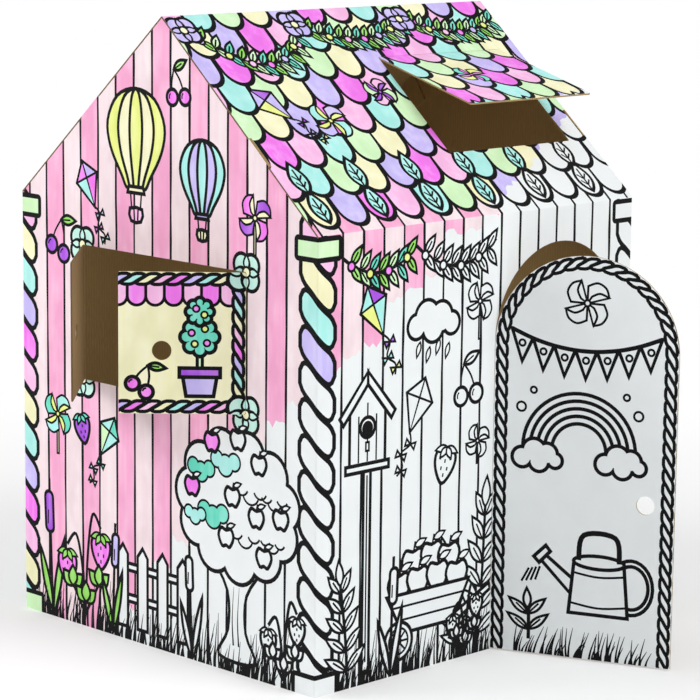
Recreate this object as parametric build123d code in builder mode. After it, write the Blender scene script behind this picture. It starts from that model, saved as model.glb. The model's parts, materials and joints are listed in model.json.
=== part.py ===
"""Playhouse folded from one sheet of corrugated board, with a door, two shutters and a roof hatch.

Millimetres, +Z up. X runs along the ridge and Y from the door wall to the rear wall. The origin is
on the floor, under the middle of the door wall's foot. The flaps stand open.
"""

import os
from math import atan2, cos, degrees, hypot, sin, tan

from build123d import *

os.makedirs("parts", exist_ok=True)

# House, over its printed faces: along the ridge, across a gable, and up from the floor
LENGTH = 870.0
WIDTH = 845.0
EAVE_HEIGHT = 852.0
RIDGE_HEIGHT = 1220.0

# Board, and the cuts and creases that the die leaves in it
BOARD = 3.2
SLIT = 0.6  # between a flap and the sheet that it was cut from
CREASE = 0.6  # across a flap's crease
PIVOT_GAP = 0.3  # from the printed face out to the line that a flap turns about
SEAM = 0.4  # between panels that only rest on each other
CORNER = 4.0  # radius of a cut corner

# Window in the middle of the left gable, closed by two shutters
WINDOW_WIDTH = 470.0
WINDOW_HEIGHT = 266.0
WINDOW_SILL = 500.0
SHUTTER_OPEN = 45.0

# Round-headed doorway near the right corner, with its crease at the left
DOOR_EDGE = 34.0  # from the doorway to the wall's corner
DOOR_WIDTH = 364.0
DOOR_HEIGHT = 784.0
DOOR_FOOT = 3.0  # from the floor up to the door's lower edge
DOOR_OPEN = 67.0

# Hatch in the front slope, with its crease at the top; heights run up the slope from the eave
HATCH_EDGE = 55.0  # from the hatch to the roof's right end
HATCH_WIDTH = 349.0
HATCH_HEIGHT = 260.0
HATCH_SILL = 161.0
HATCH_OPEN = 25.0

# Finger holes, from a flap's crease, and above the sill or the floor
FINGER_HOLE = 36.0
SHUTTER_HOLE_REACH = 155.0
SHUTTER_HOLE_HEIGHT = 119.0
DOOR_HOLE_REACH = 306.0
DOOR_HOLE_HEIGHT = 316.0

# Lock tabs that fold down from each end of a roof slope, behind the gable
TAB_WIDTH = 72.0
TAB_DEPTH = 62.0
TAB_TAPER = 9.0
FRONT_TAB_RISE = 207.0  # up the slope, from the eave to the tab's middle
REAR_TAB_RISE = 281.0

# Flap of the rear slope, tucked under the front one at the ridge
RIDGE_FLAP = 38.0

# Faces and lines that follow from the sizes above
front = -BOARD / 2
rear = front + WIDTH
ridge_y = front + WIDTH / 2
inside_x = LENGTH / 2 - BOARD
rise = RIDGE_HEIGHT - EAVE_HEIGHT
pitch = atan2(rise, WIDTH / 2)
slope_length = hypot(rise, WIDTH / 2)
drop = BOARD / cos(pitch)  # the roof board, measured straight down
past = 2 * BOARD  # a cut that goes right through the board

# Printed faces: the door wall, the window gable, and the two slopes from the middle of their eaves
door_wall = Plane(origin=(0, front, 0), x_dir=(1, 0, 0), z_dir=(0, -1, 0))
window_gable = Plane(origin=(-LENGTH / 2, ridge_y, 0), x_dir=(0, -1, 0), z_dir=(-1, 0, 0))
front_slope = Plane((0, front, EAVE_HEIGHT), x_dir=(1, 0, 0), z_dir=(0, -sin(pitch), cos(pitch)))
rear_slope = Plane((0, rear, EAVE_HEIGHT), x_dir=(1, 0, 0), z_dir=(0, sin(pitch), cos(pitch)))

# The seam under a slope's board, along the top of a gable: from the wall's inside to the ridge
seam_start = BOARD * (1 - sin(pitch)) / cos(pitch)
seam_end = slope_length - BOARD * tan(pitch)
gable_middle_x = LENGTH / 2 - BOARD / 2
tab_fold_x = inside_x - SEAM - BOARD
tab_top = TAB_WIDTH / 2 - SEAM

# Lines that the flaps turn about, on the printed faces
door_crease_x = LENGTH / 2 - DOOR_EDGE - DOOR_WIDTH
door_x = door_crease_x + DOOR_WIDTH / 2
door_spring = DOOR_HEIGHT - DOOR_WIDTH / 2
hatch_x = LENGTH / 2 - HATCH_EDGE - HATCH_WIDTH / 2
hatch_top = HATCH_SILL + HATCH_HEIGHT
shutter_crease = WINDOW_WIDTH / 2 - CREASE / 2
door_pivot = door_wall.from_local_coords((door_crease_x + CREASE / 2, 0, PIVOT_GAP))
hatch_pivot = front_slope.from_local_coords((hatch_x, hatch_top - CREASE / 2, PIVOT_GAP))


def turned(face, pivot, angles):
    """The printed face of an open flap: its closed face, turned about a line through pivot."""
    return Plane(pivot, x_dir=face.x_dir, z_dir=face.z_dir).rotated(angles).offset(-PIVOT_GAP)


with BuildPart() as house:
    # One half of the folded sheet's outside, rounded where the board folds at the eaves and ridge
    with BuildSketch(Plane.YZ) as outline:
        with BuildLine():
            Polyline(
                (front, 0),
                (rear, 0),
                (rear, EAVE_HEIGHT),
                (ridge_y, RIDGE_HEIGHT),
                (front, EAVE_HEIGHT),
                close=True,
            )
        make_face()
        floor_corners, eave_corners, ridge_corner = outline.vertices().group_by(Axis.Y)
        fillet(eave_corners + ridge_corner, radius=BOARD)
    extrude(amount=LENGTH / 2)
    # The upright folds at the wall corners
    with BuildSketch(Plane.XY):
        with Locations((0, ridge_y)):
            Rectangle(LENGTH, WIDTH)
            RectangleRounded(LENGTH, WIDTH, BOARD, mode=Mode.SUBTRACT)
    extrude(amount=RIDGE_HEIGHT, mode=Mode.SUBTRACT)
    # The room inside, open at the floor
    with BuildSketch(Plane.YZ):
        with BuildLine():
            Polyline(
                (front + BOARD, 0),
                (rear - BOARD, 0),
                (rear - BOARD, EAVE_HEIGHT + BOARD * tan(pitch) - drop),
                (ridge_y, RIDGE_HEIGHT - drop),
                (front + BOARD, EAVE_HEIGHT + BOARD * tan(pitch) - drop),
                close=True,
            )
        make_face()
    extrude(amount=inside_x, mode=Mode.SUBTRACT)

    # The gable's upper edge under each slope, and the lock tab; up is the way up in the slope's plane
    for slope, up, tab_rise in ((front_slope, 1, FRONT_TAB_RISE), (rear_slope, -1, REAR_TAB_RISE)):
        low = tab_rise - TAB_WIDTH / 2
        high = tab_rise + TAB_WIDTH / 2
        # The slope only rests on the gable, to each side of the tab
        with BuildSketch(slope.offset(-BOARD)):
            for start, end in ((seam_start, low), (high, seam_end)):
                with Locations((gable_middle_x, up * (start + end) / 2)):
                    Rectangle(past, end - start)
        extrude(amount=-SEAM, mode=Mode.SUBTRACT)
        # At the tab the gable comes up through a notch in the slope's end
        with BuildSketch(slope):
            for notch_end in (low + SEAM / 2, high - SEAM / 2):
                with Locations((gable_middle_x, up * notch_end)):
                    Rectangle(past, SEAM)
        extrude(amount=-BOARD - SEAM, mode=Mode.SUBTRACT)
        with BuildSketch(slope):
            with Locations(((tab_fold_x + inside_x) / 2, up * tab_rise)):
                Rectangle(inside_x - tab_fold_x, TAB_WIDTH)
        extrude(amount=-BOARD, mode=Mode.SUBTRACT)
        # The slope bends down behind the gable, round a quarter turn
        bend_start = slope.from_local_coords((tab_fold_x, up * tab_rise + tab_top, -BOARD))
        with BuildSketch(Plane(bend_start, x_dir=slope.x_dir, z_dir=-slope.y_dir)):
            with BuildLine():
                Line((0, 0), (BOARD, 0))
                CenterArc((0, 0), BOARD, 0, 90)
                Line((0, BOARD), (0, 0))
            make_face()
        extrude(amount=2 * tab_top)
        tab_root = slope.from_local_coords((tab_fold_x, up * tab_rise, -BOARD))
        with BuildSketch(Plane(tab_root, x_dir=slope.y_dir, z_dir=slope.x_dir)):
            with BuildLine():
                Polyline(
                    (-tab_top, 0),
                    (tab_top, 0),
                    (tab_top - TAB_TAPER, -TAB_DEPTH),
                    (TAB_TAPER - tab_top, -TAB_DEPTH),
                    close=True,
                )
            make_face()
        extrude(amount=BOARD)

    # The other half
    mirror(about=Plane.YZ)

    # The rear slope's flap under the front slope
    with BuildSketch(front_slope.offset(-BOARD)):
        with Locations((0, seam_end - RIDGE_FLAP / 2)):
            Rectangle(2 * (inside_x - SEAM), RIDGE_FLAP)
    extrude(amount=-BOARD)

    # Window, doorway and hatch
    with BuildSketch(window_gable):
        with Locations((0, WINDOW_SILL + WINDOW_HEIGHT / 2)):
            RectangleRounded(WINDOW_WIDTH, WINDOW_HEIGHT, CORNER)
    extrude(amount=-past, mode=Mode.SUBTRACT)
    with BuildSketch(door_wall):
        with Locations((door_x, door_spring / 2)):
            Rectangle(DOOR_WIDTH, door_spring)
        with Locations((door_x, door_spring)):
            Circle(DOOR_WIDTH / 2)
    extrude(amount=-past, mode=Mode.SUBTRACT)
    with BuildSketch(front_slope):
        with Locations((hatch_x, HATCH_SILL + HATCH_HEIGHT / 2)):
            RectangleRounded(HATCH_WIDTH, HATCH_HEIGHT, CORNER)
    extrude(amount=-past, mode=Mode.SUBTRACT)
house.part.label = "house"
export_step(house.part, "parts/house.step")

with BuildPart() as door:
    door_face = turned(door_wall, door_pivot, (0, 0, -DOOR_OPEN))
    leaf_width = DOOR_WIDTH - CREASE - SLIT
    leaf_x = CREASE / 2 + leaf_width / 2
    with BuildSketch(door_face):
        with Locations((leaf_x, (DOOR_FOOT + door_spring) / 2)):
            Rectangle(leaf_width, door_spring - DOOR_FOOT)
        with Locations((leaf_x, door_spring)):
            Circle(leaf_width / 2)
        with Locations((DOOR_HOLE_REACH, DOOR_HOLE_HEIGHT)):
            Circle(FINGER_HOLE / 2, mode=Mode.SUBTRACT)
    extrude(amount=-BOARD)
door.part.label = "door"
export_step(door.part, "parts/door.step")

# Seen from outside; side is the way from the middle of the window to the shutter's crease
for name, side in (("left_shutter", -1), ("right_shutter", 1)):
    with BuildPart() as shutter:
        shutter_pivot = window_gable.from_local_coords((side * shutter_crease, WINDOW_SILL, PIVOT_GAP))
        shutter_face = turned(window_gable, shutter_pivot, (0, 0, side * SHUTTER_OPEN))
        shutter_width = WINDOW_WIDTH / 2 - CREASE - SLIT / 2
        with BuildSketch(shutter_face):
            with Locations((-side * (CREASE + shutter_width) / 2, WINDOW_HEIGHT / 2)):
                RectangleRounded(shutter_width, WINDOW_HEIGHT - 2 * SLIT, CORNER)
            with Locations((-side * SHUTTER_HOLE_REACH, SHUTTER_HOLE_HEIGHT)):
                Circle(FINGER_HOLE / 2, mode=Mode.SUBTRACT)
        extrude(amount=-BOARD)
    shutter.part.label = name
    export_step(shutter.part, f"parts/{name}.step")

with BuildPart() as roof_hatch:
    hatch_face = turned(front_slope, hatch_pivot, (-HATCH_OPEN, 0, 0))
    hatch_length = HATCH_HEIGHT - CREASE - SLIT
    with BuildSketch(hatch_face):
        with Locations((0, -(CREASE + hatch_length) / 2)):
            RectangleRounded(HATCH_WIDTH - 2 * SLIT, hatch_length, CORNER)
    extrude(amount=-BOARD)
roof_hatch.part.label = "roof_hatch"
export_step(roof_hatch.part, "parts/roof_hatch.step")

print(f"pitch {degrees(pitch):.2f} degrees, slope {slope_length:.1f} mm")
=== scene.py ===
"""Looks of the folded playhouse: brown board, a white printed face, marker colours and black line art.

The print is drawn flat, in millimetres, on each face of the sheet. Shapes lie over one another in the order
in which they are drawn. Each drawing is then cut at the folds, openings and flaps, and laid on the solids as
two thin skins, one of coloured paper and one of ink.
"""

import json
import random
from math import atan2, cos, hypot, pi, radians, sin, tan

import bpy
from mathutils import Matrix, Vector
from mathutils.geometry import delaunay_2d_cdt

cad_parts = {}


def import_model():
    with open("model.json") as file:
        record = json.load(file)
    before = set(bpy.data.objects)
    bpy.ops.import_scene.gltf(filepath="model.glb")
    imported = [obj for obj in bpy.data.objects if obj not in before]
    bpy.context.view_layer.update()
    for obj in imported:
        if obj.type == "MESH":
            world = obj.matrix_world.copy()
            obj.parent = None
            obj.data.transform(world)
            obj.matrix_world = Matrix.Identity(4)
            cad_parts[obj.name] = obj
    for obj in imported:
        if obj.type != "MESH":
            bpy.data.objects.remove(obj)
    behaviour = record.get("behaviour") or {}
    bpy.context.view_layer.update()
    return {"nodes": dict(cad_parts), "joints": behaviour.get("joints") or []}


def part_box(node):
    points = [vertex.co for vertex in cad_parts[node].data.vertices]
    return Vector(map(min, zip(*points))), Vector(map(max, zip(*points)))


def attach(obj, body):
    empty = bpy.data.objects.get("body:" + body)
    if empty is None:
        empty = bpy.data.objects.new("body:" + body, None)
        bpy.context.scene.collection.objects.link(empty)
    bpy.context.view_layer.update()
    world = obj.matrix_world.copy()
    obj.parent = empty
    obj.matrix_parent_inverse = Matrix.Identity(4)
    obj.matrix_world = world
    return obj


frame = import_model()

MM = 0.001

# The folded sheet, as in the solids
house_low, house_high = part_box("house")
LENGTH = (house_high.x - house_low.x) / MM
WIDTH = (house_high.y - house_low.y) / MM
FRONT = house_low.y / MM
EAVE = 852.0
RIDGE = 1220.0
BOARD = 3.2
SLIT = 0.6
CREASE = 0.6
SEAM = 0.4
CORNER = 4.0
PITCH = atan2(RIDGE - EAVE, WIDTH / 2)
SLOPE = hypot(RIDGE - EAVE, WIDTH / 2)
ROOF_DROP = BOARD / cos(PITCH)

# Openings and flaps, on the closed faces
WINDOW_WIDTH = 470.0
WINDOW_HEIGHT = 266.0
WINDOW_SILL = 500.0
DOOR_EDGE = 34.0
DOOR_WIDTH = 364.0
DOOR_HEIGHT = 784.0
DOOR_FOOT = 3.0
HATCH_EDGE = 55.0
HATCH_WIDTH = 349.0
HATCH_HEIGHT = 260.0
HATCH_SILL = 161.0
FINGER_HOLE = 36.0
SHUTTER_HOLE_REACH = 155.0
SHUTTER_HOLE_HEIGHT = 119.0
DOOR_HOLE_REACH = 306.0
DOOR_HOLE_HEIGHT = 316.0
TAB_WIDTH = 72.0
FRONT_TAB_RISE = 207.0
REAR_TAB_RISE = 281.0

# Thickness of the printed paper and of the ink on it, and how far it stays off the board
PAPER_SKIN = 0.15
INK_SKIN = 0.07
SKIN_GAP = 0.01

# Squares into which a drawing is sorted to find the shapes near a point
CELL = 30.0

# What counts as one point, as a doubled point and as too small a shape, and how far a sharp corner may reach
SAME_POINT = 1e-4
SHORTEST_SIDE = 0.01
SMALLEST_AREA = 0.05
CORNER_LIMIT = 2.2

# Scale and start of the map on the printed side, and on the hidden side and the rim
PRINTED_MAP = (0.98, 0.01)
HIDDEN_MAP = (0.006, 0.001)

# Pens and repeats of the print
OUTLINE = 7.2
FINE_LINE = 4.4
PLANK_LINE = 5.8
PLANK_WAVER = 5.0
HEAVY_LINE = 9.6
PLANK = 52.8
TILE_WIDTH = 72.5
TILE_PITCH = 71.5
TILE_FOOT = 15.0
TILE_START = -24.0
TILE_LINE = 7.2
TILE_WOBBLE = 1.9
TILE_INK_SHIFT = (-0.9, 3.0)
COLUMN_WIDTH = 98.0
COLUMN_PITCH = 63.0
COLUMN_LEAN = 27.0
BORDER_WIDTH = 20.0
BORDER_PITCH = 26.0
BORDER_LEAN = 11.0
BORDER_LINE = 6.6
AWNING_LINE = 5.6
AWNING_STEP = 34.0
AWNING_COUNT = 13
WALL_PLANKS = 17
GABLE_PLANKS = 16

# How far the end of the colouring wanders from board to board, and how ragged it is within one
COLOUR_WANDER = 24.0
BOARD_FRAY = 9.0
TILE_FRAY = 12.0
ROOF_COLOUR_END = 470.0

# Tones of the print; a tone is the name of its material
INK = "black_ink"
PAPER = "white_paper"
DEEP_PINK = "marker_deep_pink"
PALE_PINK = "marker_pale_pink"
LILAC = "marker_lilac"
MAGENTA = "marker_magenta"
ROSE = "marker_rose"
AQUA = "marker_aqua"
LIME = "marker_pale_green"
CREAM = "marker_cream"
YELLOW = "marker_yellow"
MINT = "marker_mint"
PURPLE = "marker_purple"
TEAL = "marker_teal"
LEAF = "marker_leaf_green"
PALETTE = {
    PAPER: (239, 243, 244),
    DEEP_PINK: (250, 172, 211),
    PALE_PINK: (247, 226, 231),
    LILAC: (203, 190, 250),
    MAGENTA: (246, 122, 240),
    ROSE: (252, 190, 234),
    AQUA: (172, 240, 234),
    LIME: (212, 248, 196),
    CREAM: (249, 246, 200),
    YELLOW: (238, 246, 138),
    MINT: (196, 240, 228),
    PURPLE: (172, 84, 226),
    TEAL: (104, 222, 196),
    LEAF: (146, 222, 92),
}
TILE_TONES = (AQUA, LIME, CREAM, LILAC, MAGENTA, ROSE)
ROPE_TONES = (ROSE, CREAM, AQUA, LILAC, MAGENTA)

draw_seed = random.Random(7)


# Materials

def linear(colour):
    """An sRGB colour, from 0 to 255, as the shader's linear colour."""
    parts = [c / 255 for c in colour]
    return tuple(c / 12.92 if c <= 0.04045 else ((c + 0.055) / 1.055) ** 2.4 for c in parts) + (1.0,)


def shaded(colour, share):
    return tuple(c * share for c in colour)


class Shader:
    """A material in the making: a Principled shader that reads Object coordinates."""

    def __init__(self, name, roughness, specular=0.4):
        self.material = bpy.data.materials.new(name)
        self.material.use_nodes = True
        self.nodes = self.material.node_tree.nodes
        self.links = self.material.node_tree.links
        self.surface = self.nodes["Principled BSDF"]
        self.surface.inputs["Roughness"].default_value = roughness
        self.surface.inputs["Specular IOR Level"].default_value = specular
        self.place = self.nodes.new("ShaderNodeTexCoord").outputs["Object"]

    def noise(self, scale, detail=3.0):
        """Noise with its own scale along each axis, per metre."""
        mapping = self.nodes.new("ShaderNodeMapping")
        mapping.inputs["Scale"].default_value = scale
        self.links.new(self.place, mapping.inputs["Vector"])
        noise = self.nodes.new("ShaderNodeTexNoise")
        noise.inputs["Scale"].default_value = 1.0
        noise.inputs["Detail"].default_value = detail
        self.links.new(mapping.outputs["Vector"], noise.inputs["Vector"])
        return noise.outputs["Fac"]

    def span(self, value, low, high, start=0.0, end=1.0):
        ramp = self.nodes.new("ShaderNodeMapRange")
        for socket, number in (("From Min", low), ("From Max", high), ("To Min", start), ("To Max", end)):
            ramp.inputs[socket].default_value = number
        self.links.new(value, ramp.inputs["Value"])
        return ramp.outputs["Result"]

    def math(self, operation, first, second=None):
        node = self.nodes.new("ShaderNodeMath")
        node.operation = operation
        for socket, value in zip(node.inputs, (first, second)):
            if isinstance(value, bpy.types.NodeSocket):
                self.links.new(value, socket)
            elif value is not None:
                socket.default_value = value
        return node.outputs["Value"]

    def mix(self, factor, first, second):
        """One colour into another; a colour is a socket or an sRGB triple."""
        node = self.nodes.new("ShaderNodeMix")
        node.data_type = "RGBA"
        self.links.new(factor, node.inputs["Factor"])
        sockets = [s for s in node.inputs if s.type == "RGBA"]
        for socket, colour in zip(sockets, (first, second)):
            if isinstance(colour, bpy.types.NodeSocket):
                self.links.new(colour, socket)
            else:
                socket.default_value = linear(colour)
        return next(s for s in node.outputs if s.type == "RGBA")

    def flutes(self, period):
        """The washboard of the corrugations, which stand upright in the walls and run up the roof."""
        parts = self.nodes.new("ShaderNodeSeparateXYZ")
        self.links.new(self.place, parts.inputs["Vector"])
        across = self.math("ADD", parts.outputs["X"], parts.outputs["Y"])
        return self.math("SINE", self.math("MULTIPLY", across, 2 * pi / period))

    def bump(self, height, distance, strength=1.0):
        node = self.nodes.new("ShaderNodeBump")
        node.inputs["Distance"].default_value = distance
        node.inputs["Strength"].default_value = strength
        self.links.new(height, node.inputs["Height"])
        self.links.new(node.outputs["Normal"], self.surface.inputs["Normal"])

    def paint(self, colour):
        self.links.new(colour, self.surface.inputs["Base Color"])
        return self.material


FLUTE_PERIOD = 0.0068
GRAIN_SCALE = (900.0, 900.0, 900.0)


def paper_material():
    """Clay-coated white paper over the flutes: a little mottled."""
    shader = Shader(PAPER, roughness=0.62, specular=0.3)
    white = PALETTE[PAPER]
    mottle = shader.span(shader.noise((14.0, 14.0, 14.0), 4.0), 0.35, 0.7)
    shader.bump(shader.math("ADD", shader.flutes(FLUTE_PERIOD), shader.noise(GRAIN_SCALE)), 0.00002)
    return shader.paint(shader.mix(mottle, white, shaded(white, 0.985)))


def marker_material(name):
    """Felt marker on the paper: upright strokes that darken where they cross, over a slow unevenness."""
    colour = PALETTE[name]
    shader = Shader(name, roughness=0.66, specular=0.25)
    strokes = shader.span(shader.noise((75.0, 75.0, 5.0), 2.0), 0.42, 0.62)
    patches = shader.span(shader.noise((22.0, 22.0, 13.0), 2.0), 0.4, 0.66)
    paler = tuple(c + (255 - c) * 0.22 for c in colour)
    streaked = shader.mix(strokes, paler, colour)
    shader.bump(shader.math("ADD", shader.flutes(FLUTE_PERIOD), shader.noise(GRAIN_SCALE)), 0.00002)
    return shader.paint(shader.mix(patches, streaked, shaded(colour, 0.965)))


def ink_material():
    """Printed black, a little greyer where the paper's grain shows through."""
    shader = Shader(INK, roughness=0.7, specular=0.15)
    worn = shader.span(shader.noise((240.0, 240.0, 240.0), 4.0), 0.45, 0.8)
    shader.bump(shader.noise(GRAIN_SCALE), 0.00001)
    return shader.paint(shader.mix(worn, (9, 9, 11), (24, 24, 27)))


def kraft_material():
    """Brown liner with upright fibres and the flutes' faint stripes, and darker raw edges: the cut board's
    own darker brown, with painted shade for the hollows of its open flutes.
    """
    # The raw edges' brown: the cut board's own darker tone, together with painted shade of the open flute
    # hollows
    raw_edge_and_shade_tone = (92, 72, 46)
    shader = Shader("kraft_board", roughness=0.85, specular=0.2)
    fibres = shader.span(shader.noise((420.0, 420.0, 60.0), 4.0), 0.3, 0.75)
    clouds = shader.span(shader.noise((9.0, 9.0, 9.0), 3.0), 0.3, 0.7)
    flutes = shader.flutes(FLUTE_PERIOD)
    liner = shader.mix(fibres, (184, 157, 108), (158, 131, 86))
    liner = shader.mix(clouds, liner, (170, 143, 96))
    shade = shader.span(flutes, -1.0, 1.0, 0.0, 0.16)
    striped = shader.mix(shade, liner, (118, 94, 58))
    # Raw edges end the roof in the gables' plane, darker by the cut board's own tone and by painted shade of
    # their open flutes; round the window the cut flutes' hollows are painted shade, in a wavy band
    spots = shader.nodes.new("ShaderNodeSeparateXYZ")
    shader.links.new(shader.place, spots.inputs["Vector"])
    outer = shader.math("GREATER_THAN", shader.math("ABSOLUTE", spots.outputs["X"]), (LENGTH / 2 - 0.3) * MM)
    edge = shader.math("MULTIPLY", outer, 0.8)
    in_gable = shader.math("LESS_THAN", spots.outputs["X"], (BOARD + 0.2 - LENGTH / 2) * MM)
    # Painted shade: the hollows of the cut flutes darkened in a wavy band at the window's sill and head
    flute_hollow_shade = shader.math("MULTIPLY", in_gable, shader.span(flutes, 0.1, 0.6, 0.0, 0.75))
    for level in (WINDOW_SILL, WINDOW_SILL + WINDOW_HEIGHT):
        away = shader.math("ABSOLUTE", shader.math("SUBTRACT", spots.outputs["Z"], level * MM))
        cut = shader.math("MULTIPLY", flute_hollow_shade, shader.math("LESS_THAN", away, 1.5 * SLIT * MM))
        edge = shader.math("MAXIMUM", edge, cut)
    shader.bump(shader.math("ADD", flutes, fibres), 0.00006)
    return shader.paint(shader.mix(edge, striped, raw_edge_and_shade_tone))


MATERIALS = {PAPER: paper_material(), INK: ink_material()}
for tone in PALETTE:
    if tone != PAPER:
        MATERIALS[tone] = marker_material(tone)
kraft = kraft_material()
for node in frame["nodes"].values():
    node.data.materials.clear()
    node.data.materials.append(kraft)


# Flat shapes

def ellipse(x, y, across, high=None, turn=0.0, count=28):
    high = across if high is None else high
    loop = []
    for i in range(count):
        a = 2 * pi * i / count
        p, q = across * cos(a), high * sin(a)
        loop.append((x + p * cos(turn) - q * sin(turn), y + p * sin(turn) + q * cos(turn)))
    return loop


def arc(x, y, radius, start, end, count=16):
    angles = [radians(start + (end - start) * i / count) for i in range(count + 1)]
    return [(x + radius * cos(a), y + radius * sin(a)) for a in angles]


def rectangle(left, low, right, high, corner=0.0):
    if not corner:
        return [(left, low), (right, low), (right, high), (left, high)]
    loop = []
    for x, y, start in ((right - corner, low + corner, 270), (right - corner, high - corner, 0),
                        (left + corner, high - corner, 90), (left + corner, low + corner, 180)):
        loop += arc(x, y, corner, start, start + 90, 4)
    return loop


def smooth(points, closed=False, steps=6):
    """A curve through the points."""
    count = len(points)
    curve = []
    for i in range(count if closed else count - 1):
        places = [i - 1, i, i + 1, i + 2]
        near = [points[k % count if closed else min(max(k, 0), count - 1)] for k in places]
        for step in range(steps):
            t = step / steps
            weights = (-t**3 + 2 * t**2 - t, 3 * t**3 - 5 * t**2 + 2, -3 * t**3 + 4 * t**2 + t, t**3 - t**2)
            curve.append(tuple(sum(w * p[k] for w, p in zip(weights, near)) / 2 for k in (0, 1)))
    return curve if closed else curve + [points[-1]]


def lens(base, tip, width, count=8):
    """A pointed leaf from base to tip."""
    along = Vector(tip) - Vector(base)
    side = Vector((-along.y, along.x)).normalized() * width / 2
    steps = [i / count for i in range(count + 1)]
    right = [Vector(base) + along * t - side * sin(pi * t**0.85) for t in steps]
    left = [Vector(base) + along * t + side * sin(pi * t**0.85) for t in steps[-2:0:-1]]
    return [tuple(p) for p in right + left]


def area(loop):
    return sum(a[0] * b[1] - b[0] * a[1] for a, b in zip(loop, loop[1:] + loop[:1])) / 2


def facing(loop):
    """The loop, run anticlockwise and without doubled points."""
    kept = [p for p, q in zip(loop, loop[1:] + loop[:1]) if hypot(p[0] - q[0], p[1] - q[1]) > SHORTEST_SIDE]
    return kept if area(kept) > 0 else kept[::-1]


def grow(loop, amount):
    """The loop moved outwards by an amount, with long corners held back."""
    loop = [Vector(p) for p in facing(loop)]
    grown = []
    for before, here, after in zip(loop[-1:] + loop[:-1], loop, loop[1:] + loop[:1]):
        first, second = (here - before).normalized(), (after - here).normalized()
        out = Vector((first.y + second.y, -first.x - second.x))
        reach = min(2 / max(out.length, SHORTEST_SIDE), CORNER_LIMIT)
        grown.append(tuple(here + out.normalized() * amount * reach))
    return grown


def ribbon(points, width, taper=False):
    """Quads along a line; a tapered one comes to a point at its end."""
    points = [Vector(p) for p in points]
    edges = []
    for i, here in enumerate(points):
        along = (points[min(i + 1, len(points) - 1)] - points[max(i - 1, 0)]).normalized()
        reach = width / 2 * (1 - 0.85 * i / (len(points) - 1) if taper else 1)
        side = Vector((-along.y, along.x)) * reach
        edges.append((tuple(here - side), tuple(here + side)))
    return [[a[0], b[0], b[1], a[1]] for a, b in zip(edges, edges[1:])]


def clip(loop, point, out):
    """The part of a convex loop on the inner side of a line through point, with its cut edge left ragged."""
    kept, cut = [], []
    for a, b in zip(loop, loop[1:] + loop[:1]):
        da = (a[0] - point[0]) * out[0] + (a[1] - point[1]) * out[1]
        db = (b[0] - point[0]) * out[0] + (b[1] - point[1]) * out[1]
        if da <= 0:
            kept.append(a)
        if da * db < 0:
            t = da / (da - db)
            kept.append((a[0] + (b[0] - a[0]) * t, a[1] + (b[1] - a[1]) * t))
            cut.append((len(kept), da < 0))
    if len(cut) == 2:
        leaves = next(at for at, leaving in cut if leaving)
        start, end = Vector(kept[leaves - 1]), Vector(kept[leaves % len(kept)])
        teeth = [start.lerp(end, k / 6) - Vector(out) * draw_seed.uniform(0, TILE_FRAY) for k in range(1, 6)]
        kept[leaves:leaves] = [tuple(p) for p in teeth]
    return kept


def winding(point, loop):
    """How often a loop runs anticlockwise round a point."""
    turns = 0
    for a, b in zip(loop, loop[1:] + loop[:1]):
        side = (b[0] - a[0]) * (point[1] - a[1]) - (point[0] - a[0]) * (b[1] - a[1])
        if a[1] <= point[1] < b[1] and side > 0:
            turns += 1
        elif b[1] <= point[1] < a[1] and side < 0:
            turns -= 1
    return turns


class Drawing:
    """The print on one face: closed loops and their tones, the later ones on top."""

    def __init__(self):
        self.shapes = []

    def fill(self, loop, tone):
        loop = facing(loop)
        if len(loop) > 2 and area(loop) > SMALLEST_AREA:
            self.shapes.append((loop, tone))

    def line(self, points, width=OUTLINE, taper=False):
        for quad in ribbon(points, width, taper):
            self.fill(quad, INK)

    def shape(self, loop, tone, line=OUTLINE):
        self.fill(grow(loop, line / 2), INK)
        self.fill(grow(loop, -line / 2), tone)


class Pen:
    """Draws a motif about its own origin, at its own size and turn."""

    def __init__(self, drawing, u, v, size=1.0, turn=0.0):
        self.drawing = drawing
        self.u, self.v, self.size, self.turn = u, v, size, radians(turn)

    def at(self, points):
        c, s = cos(self.turn) * self.size, sin(self.turn) * self.size
        return [(self.u + c * x - s * y, self.v + s * x + c * y) for x, y in points]

    def shape(self, loop, tone, line=OUTLINE):
        self.drawing.shape(self.at(loop), tone, line)

    def line(self, points, width=OUTLINE, taper=False):
        self.drawing.line(self.at(points), width, taper)


# Repeats, grown by geometry nodes from one flat shape

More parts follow.
